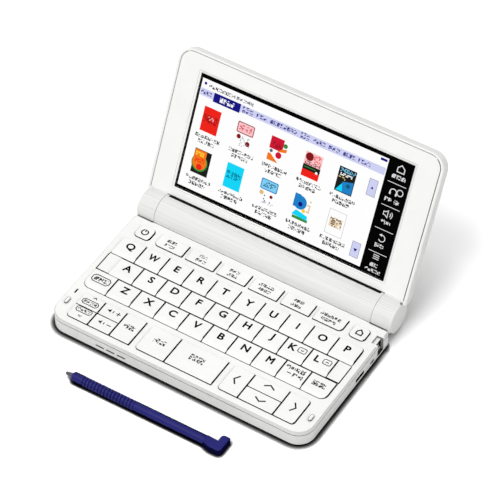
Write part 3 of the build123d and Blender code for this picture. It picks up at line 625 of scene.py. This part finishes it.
def letter_legend(marks, letter):
    """A capital above the middle of its key, and on two keys a boxed arrow head beside it."""
    boxed = letter in "kl"
    squeeze = {"i": 1.0, "w": 0.9, "m": 0.98}.get(letter, 1.12)
    marks.letter(letter.upper(), -2.2 if boxed else 0.0, 1.4, LETTER_HEIGHT, squeeze, LETTER_WEIGHT)
    if boxed:
        marks.frame(0.9, 0.2, 5.2, 3.3, 0.42, 0.6)
        chevron(marks, 3.05, 1.75, -90 if letter == "k" else 90, 0.7, 0.8, 0.42)


def power_legend(marks):
    marks.arc(0, 0, 1.7, 115, 425, 0.7)
    marks.stroke([(0, 0.3), (0, 2.0)], 0.7)


def home_legend(marks):
    marks.stroke([(-1.5, -1.5), (1.5, -1.5), (1.5, 0.3), (0, 1.8), (-1.5, 0.3)], 0.7, True)


def menu_legend(marks, number):
    """Two lines of label, each with its count of blocks and half its length."""
    upper = ((4, 2.9), (4, 2.2), (3, 2.9), (4, 4.4), (3, 3.2), (6, 5.8))
    lower = ((2, 2.9), (3, 3.0), (3, 2.9), (4, 3.8), (3, 3.0), (4, 4.2))
    blocks, half = upper[number - 1]
    marks.print_row(-half - 0.6, 0.4, half - 0.6, 2.3, blocks, number)
    blocks, half = lower[number - 1]
    marks.print_row(-half - 0.4, -2.5, half - 0.4, -0.6, blocks, number + 1)


def shift_legend(marks):
    marks.frame(-5.1, -1.3, 5.0, 3.1, 0.5, 1.2)
    marks.print_row(-3.9, -0.3, 4.3, 2.1, 3, 1)


def space_legend(marks):
    marks.print_row(-5.6, 1.4, 5.2, 4.0, 4, 0)
    marks.stroke([(-3.4, -0.6), (-1.2, -0.6)], 0.5)
    marks.print_row(-0.2, -2.0, 5.6, 0.5, 2, 2)


def zoom_legend(marks, up):
    """A boxed label with a small arrow head above or below it."""
    if up:
        marks.frame(-4.6, -2.2, 4.4, 0.9, 0.45, 0.9)
        marks.print_row(-3.8, -1.4, 3.8, 0.2, 4, 3)
        chevron(marks, 0.5, 3.0, 90, 0.9, 1.0, 0.45)
    else:
        marks.frame(-4.4, 0.7, 4.4, 3.8, 0.45, 0.9)
        marks.print_row(-3.6, 1.5, 3.8, 3.1, 4, 0)
        chevron(marks, 0.1, -1.6, -90, 0.9, 1.0, 0.45)


def volume_legend(marks, up):
    """A speaker, a short bar, and a plus or a minus."""
    marks.shape([(-3.0, 0.1), (-2.3, 0.1), (-1.3, -0.7), (-1.3, 1.7), (-2.3, 0.9), (-3.0, 0.9)])
    marks.stroke([(0.1, -0.2), (0.1, 1.2)], 0.5)
    marks.stroke([(1.8, 0.5), (4.2, 0.5)], 0.5)
    if up:
        marks.stroke([(3.0, -0.7), (3.0, 1.7)], 0.5)


def legend(name, draw, *details):
    marks = Marks()
    draw(marks, *details)
    # the legend's ink also draws a painted shade line along the back edge
    if name in BACK_ROWS:
        back_edge_shade(marks, "key_" + name)
    marks.place("legend_" + name, key_plane("key_" + name), ink_and_gap_shade, "key_" + name, "key_caps")


def key_legends():
    for letter in "qwertyuiopasdfghjklzxcvbnm":
        legend(letter, letter_legend, letter)
    for number in range(1, 7):
        legend(f"menu_{number}", menu_legend, number)
    for name, x, y, angle, reach, half_width in (
        ("arrow_right", 0.6, 0.6, 0, 2.0, 2.8),
        ("arrow_up", 0.0, 0.9, 90, 1.7, 2.9),
        ("arrow_left", -0.6, 0.6, 180, 2.0, 2.8),
        ("arrow_down", 0.1, -0.1, 270, 1.7, 2.9),
    ):
        legend(name, chevron, x, y, angle, reach, half_width)
    legend("power", power_legend)
    legend("home", home_legend)
    legend("shift", shift_legend)
    legend("space", space_legend)
    legend("delete", Marks.print_row, -3.9, -0.8, 3.9, 2.2, 2, 1)
    legend("zoom_in", zoom_legend, True)
    legend("zoom_out", zoom_legend, False)
    legend("volume_up", volume_legend, True)
    legend("volume_down", volume_legend, False)
    legend("history", Marks.print_row, -3.2, -0.6, 3.4, 2.4, 2, 0)
    legend("back", Marks.print_row, -3.1, -0.5, 4.0, 2.4, 2, 2)
    legend("enter", Marks.print_row, -4.6, -0.7, 4.0, 3.1, 2, 3)


# ---------------------------------------------------------------- display
class Picture:
    """The picture on the display: flat patches in layers, one piece for each colour of a layer."""

    def __init__(self):
        self.patches = {}

    def on(self, layer, colour, origin=(0.0, 0.0)):
        """The marks of one colour in one layer, to be drawn on from an origin."""
        marks = self.patches.setdefault((layer, colour), Marks())
        marks.origin = origin
        return marks

    def place(self):
        base = lid_plane(GLASS_OFFSET)
        for (layer, colour), marks in sorted(self.patches.items()):
            plane = Matrix.Translation(LID_OUT * LAYER_STEP * MM * layer) @ base
            marks.place(f"display_{colour}_{layer}", plane, glow[colour], "lid", "display")


def tab_bar(picture):
    """Title line, the row of tabs with one of them chosen, and the battery mark."""
    picture.on(2, "navy").disc(-57.4, 72.7, 0.75)
    picture.on(2, "ink").print_row(-55.3, 71.2, -39.8, 73.0, 8, 0)
    picture.on(2, "slate").print_row(-39.2, 71.2, -29.2, 73.0, 5, 3)
    picture.on(2, "navy").box(42.5, 72.9, 46.2, 74.2)
    picture.on(2, "lavender").box(-59.2, 66.0, 46.4, 69.9)
    picture.on(3, "navy").box(-51.5, 65.2, -36.0, 70.0)
    picture.on(4, "white").print_row(-47.8, 66.3, -39.2, 68.8, 4, 1)
    labels = ((-59.0, -52.6, 4, 0), (-26.5, -20.4, 3, 2), (-18.6, -3.1, 8, 1), (6.2, 13.0, 4, 0),
              (14.8, 21.4, 3, 3), (23.0, 30.2, 4, 1), (31.5, 38.6, 4, 2))
    for left, right, count, seed in labels:
        picture.on(3, "navy").print_row(left, 67.0, right, 69.0, count, seed)
    for left, right in ((-34.6, -28.4), (-1.0, 4.0)):
        picture.on(3, "navy").print_row(left, 68.3, right, 69.7, 3, 2)
        picture.on(3, "navy").print_row(left, 66.3, right, 67.7, 3, 3)


def scroll_button(picture, low, high, reach, side):
    """A button with an arrow head that points up, side 1, or down, side -1."""
    picture.on(2, "lavender").box(39.8, low, 44.6, high)
    picture.on(3, "slate").frame(39.9, low + 0.1, 44.5, high - 0.1, 0.2)
    x, y = 42.2, (low + high) / 2
    corners = [(x - reach, y - side * 0.6), (x + reach, y - side * 0.6), (x, y + side * reach)]
    picture.on(3, "navy").shape(corners[::side])


def caption(on, seed):
    """Two lines of fine print under a cover."""
    on(2, "ink").print_row(-1.6, -3.7, 12.8, -1.8, 8, seed)
    on(2, "ink").print_row(0.6, -6.4, 10.2, -4.4, 5, seed + 50)


# Ten plain covers, each drawn from its own lower left corner: fields of colour, discs and specks.
def red_cover(on):
    on(2, "red").box(0, 0, COVER_WIDTH, COVER_HEIGHT)
    on(3, "maroon").dots(0.9, 5.0, 8.6, 9.2, 12, 6, 0.62, 1)
    on(4, "pink").dots(3.4, 6.6, 6.6, 8.6, 5, 3, 0.5, 2)


def rose_cover(on):
    on(2, "pink").box(0, 7.4, COVER_WIDTH, COVER_HEIGHT)
    on(3, "maroon").frame(0.25, 7.5, COVER_WIDTH - 0.25, COVER_HEIGHT - 0.2, 0.45, 0.6)
    on(3, "crimson").dots(1.4, 8.9, 8.3, 11.9, 10, 4, 0.5, 3)
    on(2, "maroon").disc(2.0, 5.3, 1.2)
    on(2, "maroon").disc(7.6, 3.0, 1.3)
    on(2, "grey").dots(3.2, 0.6, 9.0, 6.2, 9, 7, 0.25, 4)


def crimson_cover(on):
    on(2, "crimson").box(0, 6.6, 7.4, COVER_HEIGHT)
    on(3, "maroon").dots(0.8, 7.6, 6.6, 10.6, 8, 4, 0.5, 5)
    on(2, "green").disc(8.5, 10.4, 1.2)
    on(3, "orange").shape([(4.8, 6.0), (COVER_WIDTH, 7.2), (COVER_WIDTH, 9.0), (7.0, 8.2)])
    on(2, "orange").shape([(0, 0.3), (6.4, 0.3), (1.6, 3.9), (0, 3.9)])
    on(3, "crimson").disc(5.9, 4.4, 1.7)
    on(2, "slate").disc(1.5, 5.4, 0.9)


def banded_cover(on):
    on(2, "pink").box(0, 6.4, COVER_WIDTH, COVER_HEIGHT)
    on(3, "maroon").disc(2.5, 10.7, 2.2)
    on(3, "red").dots(4.9, 8.6, 9.5, 12.8, 7, 6, 0.5, 6)
    on(3, "maroon").dots(0.6, 6.6, 9.3, 8.4, 12, 3, 0.5, 7)
    on(2, "coal").box(0, 3.7, COVER_WIDTH, 6.4)
    on(3, "green").box(0.8, 4.9, 7.2, 5.3)
    on(2, "red").box(0, 0, COVER_WIDTH, 3.7)
    on(4, "white").disc(8.0, 3.9, 0.7)


def coal_cover(on):
    on(2, "coal").box(0, 0, COVER_WIDTH, COVER_HEIGHT)
    on(3, "sky").dots(0.9, 10.6, 9.2, 12.6, 12, 3, 0.5, 8)
    on(3, "white").dots(1.2, 8.6, 8.0, 10.2, 9, 2, 0.6, 9)
    on(3, "sand").dots(0.6, 6.6, 4.6, 8.2, 6, 2, 0.5, 10)
    on(3, "cyan").shape([(0.6, 0.5), (5.4, 0.5), (3.6, 5.2)])
    on(4, "blue").shape([(4.4, 0.5), (COVER_WIDTH - 0.4, 0.5), (COVER_WIDTH - 0.4, 7.2), (3.2, 5.6)])
    on(5, "teal").disc(6.8, 4.4, 1.1)


def orange_cover(on):
    on(2, "coal").box(0, 0, COVER_WIDTH, COVER_HEIGHT)
    on(3, "green").disc(4.0, 6.0, 4.6)
    on(4, "orange").disc(3.9, 6.3, 4.0)
    on(4, "orange").box(0.2, 6.3, 6.9, COVER_HEIGHT - 0.3)
    on(5, "yellow").dots(0.8, 9.6, 5.8, 12.0, 4, 2, 0.7, 11)
    on(5, "red").dots(0.8, 6.2, 6.6, 8.8, 9, 4, 0.62, 12)
    on(5, "red").disc(4.2, 3.9, 1.6)


def cyan_cover(on):
    on(2, "cyan").box(0, 0, COVER_WIDTH, COVER_HEIGHT)
    on(3, "teal").dots(0.7, 5.2, 8.9, 9.2, 13, 6, 0.58, 13)


def sky_cover(on):
    on(2, "sky").box(0, 7.6, COVER_WIDTH, COVER_HEIGHT)
    on(3, "blue").frame(0.25, 7.7, COVER_WIDTH - 0.25, COVER_HEIGHT - 0.2, 0.5, 0.6)
    on(3, "teal").dots(1.4, 9.0, 8.3, 11.9, 10, 4, 0.45, 14)
    on(2, "sand").disc(1.5, 5.6, 1.2)
    on(2, "maroon").disc(7.2, 5.0, 0.9)
    on(2, "navy").dots(3.2, 1.4, 8.2, 6.0, 7, 5, 0.2, 15)
    on(2, "grey").dots(0.4, 0.4, 9.2, 1.6, 12, 2, 0.35, 16)


def blue_cover(on):
    on(2, "blue").disc(3.6, 9.0, 3.7)
    on(2, "blue").box(0, 6.0, 3.4, COVER_HEIGHT)
    on(3, "navy").disc(3.9, 8.2, 1.2)
    on(2, "green").box(1.0, 0, COVER_WIDTH, 1.5)
    on(3, "cyan").shape([(0.4, 1.8), (COVER_WIDTH - 0.4, 1.2), (COVER_WIDTH - 0.6, 3.4), (2.4, 4.8)])
    on(3, "yellow").disc(6.4, 5.4, 1.0)
    on(2, "sand").dots(7.8, 5.2, 9.6, 12.0, 2, 6, 0.7, 17)


def sand_cover(on):
    on(2, "grey").frame(0.1, 0.1, COVER_WIDTH - 0.1, COVER_HEIGHT - 0.1, 0.22)
    on(3, "sand").dots(1.4, 4.2, 8.3, 9.4, 11, 8, 0.75, 18)
    on(4, "brown").dots(1.6, 4.4, 8.2, 9.0, 9, 5, 0.4, 19)


# The covers, row by row: the left side of each, its foot and what draws it.
COVERS = (
    (-54.9, UPPER_SHELF, red_cover),
    (-35.2, UPPER_SHELF, rose_cover),
    (-15.8, UPPER_SHELF, crimson_cover),
    (4.0, UPPER_SHELF, banded_cover),
    (23.1, UPPER_SHELF, coal_cover),
    (-54.5, LOWER_SHELF, orange_cover),
    (-35.4, LOWER_SHELF, cyan_cover),
    (-15.3, LOWER_SHELF, sky_cover),
    (4.1, LOWER_SHELF, blue_cover),
    (23.8, LOWER_SHELF, sand_cover),
)


def touch_strip(picture):
    """Five fixed icons on the black strip, each with a short label."""
    ink = picture.on(1, "chalk")
    for height in (64.4, 52.0, 39.5, 27.0):
        ink.stroke([(48.9, height), (59.1, height)], 0.32)
    # a house
    ink.stroke([(52.3, 70.6), (56.1, 70.6), (56.1, 72.8), (54.2, 74.4), (52.3, 72.8)], 0.5, True)
    ink.print_row(50.3, 66.9, 58.2, 69.0, 3, 1)
    # headphones and a ring
    ink.arc(53.3, 59.7, 1.8, -20, 200, 0.5)
    ink.box(51.2, 58.3, 52.1, 59.7)
    ink.box(54.5, 58.3, 55.4, 59.7)
    ink.arc(56.8, 60.7, 1.6, 0, 360, 0.45)
    ink.print_row(49.7, 54.2, 58.0, 56.4, 4, 2)
    # a speaker and its waves
    speaker = [(51.3, 47.2), (52.3, 47.2), (53.6, 46.2), (53.6, 49.9), (52.3, 48.9), (51.3, 48.9)]
    ink.stroke(speaker, 0.42, True)
    ink.arc(53.8, 48.0, 1.3, -45, 45, 0.42)
    ink.arc(53.8, 48.0, 2.3, -45, 45, 0.42)
    ink.print_row(51.1, 42.5, 56.6, 44.7, 2, 0)
    # a turned arrow
    ink.arc(54.0, 35.0, 1.7, -150, 110, 0.45)
    ink.shape([(52.2, 36.6), (53.7, 35.8), (53.7, 37.4)])
    ink.print_row(51.2, 29.7, 56.5, 31.9, 2, 3)
    # three lines
    for height in (23.7, 24.7, 25.7):
        ink.stroke([(52.1, height), (55.4, height)], 0.42)
    ink.print_row(51.5, 19.3, 56.0, 21.3, 2, 1)
    ink.print_row(49.5, 16.4, 58.2, 18.2, 5, 0)


def display_picture():
    picture = Picture()
    picture.on(1, "white").box(PAGE_LEFT, PAGE_LOW, PAGE_RIGHT, PAGE_HIGH)
    tab_bar(picture)
    scroll_button(picture, 53.0, 62.0, 0.8, 1)
    scroll_button(picture, 19.6, 27.8, 1.1, -1)
    for number, (x, low, draw) in enumerate(COVERS):
        on = functools.partial(picture.on, origin=(x, low))
        draw(on)
        caption(on, 20 + number)
    touch_strip(picture)
    picture.place()


# ---------------------------------------------------------------- dark gaps
def shade_filler_gaps():
    """Painted shade in the gap in front of each blank filler and in the one beside it, towards the wall."""
    for name, side in (("left", -1), ("right", 1)):
        marks = Marks()
        left, right = sorted((side * FILLER_INNER, side * FILLER_OUTER))
        marks.box(left, FILLER_FRONT, right, FILLER_FRONT + FILLER_GAP)
        near = FILLER_OUTER - 0.2
        left, right = sorted((side * near, side * (near + FILLER_GAP)))
        marks.box(left, FILLER_FRONT, right, FILLER_BACK)
        marks.place("filler_gap_shade_" + name, level_plane(DECK_Z), painted_gap_shade, "base", "shell")


def side_lines():
    """Painted shade at the mouth of the card slot, and in the gap beside the last key of the top row."""
    slot, gap = Marks(), Marks()
    slot.box(CARD_SLOT_FRONT, CARD_SLOT_LOW, CARD_SLOT_BACK, CARD_SLOT_HIGH)
    # on the wall, x of the marks runs back along y, and y of the marks runs up
    turn = Matrix(((0, 0, 1, 0), (1, 0, 0, 0), (0, 1, 0, 0), (0, 0, 0, 1)))
    wall = Matrix.Translation((CASE_SIDE * MM + INK_GAP, 0, 0)) @ turn
    slot.place("card_slot_shade", wall, painted_gap_shade, "base", "shell")
    low, high = (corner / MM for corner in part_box("key_p"))
    gap.box(high.x + 0.1, low.y + 1.0, high.x + 0.45, high.y - 2.2)
    gap.place("field_gap_shade", level_plane(DECK_Z), painted_gap_shade, "base", "shell")


def deck_lines():
    """Painted shade: the dark slot of the microphone, the rims of the two bumpers and the line before the
    barrel.
    """
    deck = level_plane(DECK_Z)
    dark, rims, line, ends = Marks(), Marks(), Marks(), Marks()
    left, right = MICROPHONE_X - MICROPHONE_HALF, MICROPHONE_X + MICROPHONE_HALF
    dark.box(left, MICROPHONE_FRONT, right, MICROPHONE_BACK)
    dark.place("microphone_hole_shade", deck, painted_gap_shade, "base", "shell")
    turns = [math.pi * i / 10 for i in range(11)]
    round_end = [(BUMPER_ROUND * math.cos(t), BUMPER_ROUND * math.sin(t)) for t in turns]
    for x in (-BUMPER_X, BUMPER_X):
        ring = [(x + across, BUMPER_BACK + ahead) for across, ahead in round_end]
        ring += [(x - across, BUMPER_FRONT - ahead) for across, ahead in round_end]
        rims.stroke(ring, 0.24, True)
    rims.place("bumper_rim_shade", level_plane(BUMPER_TOP), painted_line_shade, "base", "shell")
    line.box(-MIDDLE_SIDE, BARREL_LINE_FRONT, MIDDLE_SIDE, BARREL_LINE_BACK)
    line.place("barrel_line_shade", deck, painted_line_shade, "base", "shell")
    ends.box(-BARREL_LINE_SIDE, BARREL_LINE_FRONT, -MIDDLE_SIDE, BARREL_LINE_BACK)
    ends.box(MIDDLE_SIDE, BARREL_LINE_FRONT, BARREL_LINE_SIDE, BARREL_LINE_BACK)
    ends.place("barrel_end_line_shade", deck, painted_seam_shade, "base", "shell")


def hinge_gap_shade():
    """Painted shade in the gap at the foot of the lid, fainter beside the barrel's middle stretch."""
    plane = lid_plane(BEZEL_OFFSET - 0.15)
    middle, ends = Marks(), Marks()
    middle.box(-MIDDLE_SIDE, BEZEL_FOOT - 0.45, MIDDLE_SIDE, BEZEL_FOOT)
    middle.place("hinge_gap_shade", plane, painted_gap_shade, "lid", "bezel")
    ends.box(-BEZEL_SIDE, BEZEL_FOOT - 0.25, -MIDDLE_SIDE, BEZEL_FOOT)
    ends.box(MIDDLE_SIDE, BEZEL_FOOT - 0.25, BEZEL_SIDE, BEZEL_FOOT)
    ends.place("hinge_end_gap_shade", plane, painted_line_shade, "lid", "bezel")


def hinge_lip_shade():
    """A thin lip from the foot of the lid round the barrel, near black as painted shade of the gap there."""
    mesh = bmesh.new()
    radius = BARREL_RADIUS + 0.04
    rows = []
    for i in range(LIP_STEPS + 1):
        turn = math.radians(LIP_START + (LIP_END - LIP_START) * i / LIP_STEPS)
        height, out = radius * math.cos(turn), radius * math.sin(turn)
        rows.append([mesh.verts.new((x, height, out)) for x in (-MIDDLE_SIDE, MIDDLE_SIDE)])
    for first, second in zip(rows, rows[1:]):
        mesh.faces.new((first[0], second[0], second[1], first[1]))
    bmesh.ops.recalc_face_normals(mesh, faces=mesh.faces[:])
    piece = new_piece("hinge_lip_shade", mesh, lid_plane(0.0), painted_gap_shade)
    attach(piece, "lid")


def window_line(name, material, offset, margins, width):
    """A painted shade line round the window, as far outside it as the margins say: left, low, right and high.
    """
    left, low, right, high = margins
    marks = Marks()
    marks.frame(-WINDOW_SIDE - left, WINDOW_LOW - low, WINDOW_SIDE + right, WINDOW_HIGH + high, width)
    marks.place(name, lid_plane(BEZEL_OFFSET + offset), material, "lid", "bezel")


def seam_shade_round_bezel():
    """Painted shade at the seam round the bezel: a line up each side and round most of its corner, darker on
    the right, and one along the top.
    """
    plane = lid_plane(BEZEL_OFFSET + 0.03)
    x, y = SEAM_SIDE - SEAM_CORNER, SEAM_TOP - SEAM_CORNER
    turns = [math.radians(90 * i / 8) for i in range(9)]
    corner = [(x + SEAM_CORNER * math.sin(t), y + SEAM_CORNER * math.cos(t)) for t in turns]
    along_top, down_side = corner[:3], corner[3:]
    for name, side, material in (("left", -1, painted_line_shade), ("right", 1, painted_seam_shade)):
        marks = Marks()
        points = [(SEAM_SIDE, SEAM_FOOT), *reversed(down_side)]
        marks.stroke([(side * across, height) for across, height in points], 0.3)
        marks.place("seam_shade_round_bezel_" + name, plane, material, "lid", "bezel")
    top = Marks()
    mirrored = [(-across, height) for across, height in reversed(along_top)]
    top.stroke([*mirrored, *along_top], 0.3)
    top.place("seam_shade_round_bezel_top", plane, painted_top_seam_shade, "lid", "bezel")


# painted shade on the lid: at its foot, round the window and along the seam
def lid_lines():
    hinge_gap_shade()
    hinge_lip_shade()
    window_line("window_edge_shade", panel_black_and_window_shade, offset=0.04, margins=(0.12, 0.12, 0.12, 0.12), width=0.6)
    seam_shade_round_bezel()
    window_line("window_bevel_shade", painted_bevel_shade, offset=0.03, margins=(1.7, 1.4, 1.5, 1.5), width=0.3)


# ---------------------------------------------------------------- stylus grip
def stylus_ribs():
    """Fine ribs round the grip, in the shallow neck of the stylus, with painted shade in the grooves between
    them.
    """
    mesh = bmesh.new()
    pitch = (GRIP_END - GRIP_START) / RIBS
    profile = [(GRIP_START + (i + part) * pitch, radius) for i in range(RIBS) for part, radius in RIB_PROFILE]
    profile.append((GRIP_END, NECK_RADIUS))
    turns = [2 * math.pi * k / RING_STEPS for k in range(RING_STEPS)]
    rings = [[mesh.verts.new((x, radius * math.cos(t), radius * math.sin(t))) for t in turns]
             for x, radius in profile]
    groove = (0, len(RIB_PROFILE) - 1)
    for i, (first, second) in enumerate(zip(rings, rings[1:])):
        for k in range(RING_STEPS):
            after = (k + 1) % RING_STEPS
            face = mesh.faces.new([first[k], second[k], second[after], first[after]])
            # painted shade in the grooves, and on the first two bands of the grip
            face.material_index = 1 if i % len(RIB_PROFILE) in groove or i < 2 else 0
    bmesh.ops.recalc_face_normals(mesh, faces=mesh.faces[:])
    place = Matrix.Translation(STYLUS_TIP * MM) @ Matrix.Rotation(STYLUS_TURN, 4, "Z")
    grip = new_piece("stylus_grip", mesh, place, stylus_navy, stylus_painted_shade)
    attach(grip, "stylus")


# ---------------------------------------------------------------- floor and light
def occlusion(tree, reach):
    """A socket that is below 1 where something stands within reach."""
    return add(tree, "AmbientOcclusion", {"Distance": reach}).outputs["AO"]


def floor_shade(tree, place):
    """The floor's colour to the camera: a thin line round the object, and softer shade behind the lid."""
    along_y = add(tree, "SeparateXYZ", {"Vector": place}).outputs["Y"]
    in_front = ramp(tree, along_y, BEFORE_BASE, STYLUS_REACH, CONTACT_REACH)
    behind = ramp(tree, along_y, BEFORE_BARREL, CONTACT_REACH, BARREL_REACH)
    contact = occlusion(tree, calculate(tree, "MINIMUM", in_front, behind))
    line = calculate(tree, "MULTIPLY", calculate(tree, "POWER", contact, CONTACT_DEPTH), FLOOR_WHITE)
    shelter = calculate(tree, "MULTIPLY", occlusion(tree, SHELTER_REACH), SHELTER_WHITE)
    blend = add(tree, "Mix", {"Factor": ramp(tree, along_y, SHELTER_START), "A": 1.0, "B": shelter})
    return calculate(tree, "MULTIPLY", line, blend.outputs["Result"])


def floor_material():
    """Grey to scattered light, and to the camera white but for shadows, fading to plain white far out."""
    material = bpy.data.materials.new("floor_white")
    material.use_nodes = True
    tree = material.node_tree
    tree.nodes.clear()
    place = object_place(tree)
    shaded = add(tree, "BsdfDiffuse", {"Color": floor_shade(tree, place)}).outputs["BSDF"]
    white = add(tree, "Emission").outputs["Emission"]
    away = add(tree, "VectorMath", {0: place}, "LENGTH").outputs["Value"]
    seen = mix_shaders(tree, ramp(tree, away, FLOOR_FADE), shaded, white)
    grey = add(tree, "BsdfDiffuse", {"Color": FLOOR_GREY}).outputs["BSDF"]
    add(tree, "OutputMaterial", {"Surface": mix_shaders(tree, seen_directly(tree), grey, seen)})
    return material


def make_floor():
    low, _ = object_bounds()
    height = low.z - FLOOR_DROP
    corners = [(x * FLOOR_HALF, y * FLOOR_HALF, height) for x, y in ((-1, -1), (1, -1), (1, 1), (-1, 1))]
    data = bpy.data.meshes.new("floor")
    data.from_pydata(corners, [], [(0, 1, 2, 3)])
    data.materials.append(floor_material())
    floor = bpy.data.objects.new("floor", data)
    bpy.context.scene.collection.objects.link(floor)


def make_world():
    """Soft light from all round, and plain white where the camera looks past the floor."""
    world = bpy.data.worlds.new("world")
    bpy.context.scene.world = world
    world.use_nodes = True
    tree = world.node_tree
    soft = tree.nodes["Background"]
    fill(tree, soft, {"Color": WHITE, "Strength": SKY_STRENGTH})
    seen = add(tree, "Background", {"Color": WHITE, "Strength": 1.0}).outputs["Background"]
    mixed = mix_shaders(tree, seen_directly(tree), soft.outputs["Background"], seen)
    fill(tree, tree.nodes["World Output"], {"Surface": mixed})


def make_lamps():
    """Soft square lamps, all turned to one point of the object."""
    for name, (place, size, energy) in LAMPS.items():
        data = bpy.data.lights.new(name, "AREA")
        data.shape = "SQUARE"
        data.size = size
        data.energy = energy
        light = bpy.data.objects.new(name, data)
        light.location = place
        light.rotation_mode = "QUATERNION"
        light.rotation_quaternion = (light.location - LAMP_AIM).to_track_quat("Z", "Y")
        bpy.context.scene.collection.objects.link(light)


make_camera()
dress_nodes()
key_legends()
display_picture()
shade_filler_gaps()
side_lines()
deck_lines()
lid_lines()
stylus_ribs()
make_floor()
make_world()
make_lamps()
bpy.context.scene.view_settings.view_transform = "Standard"
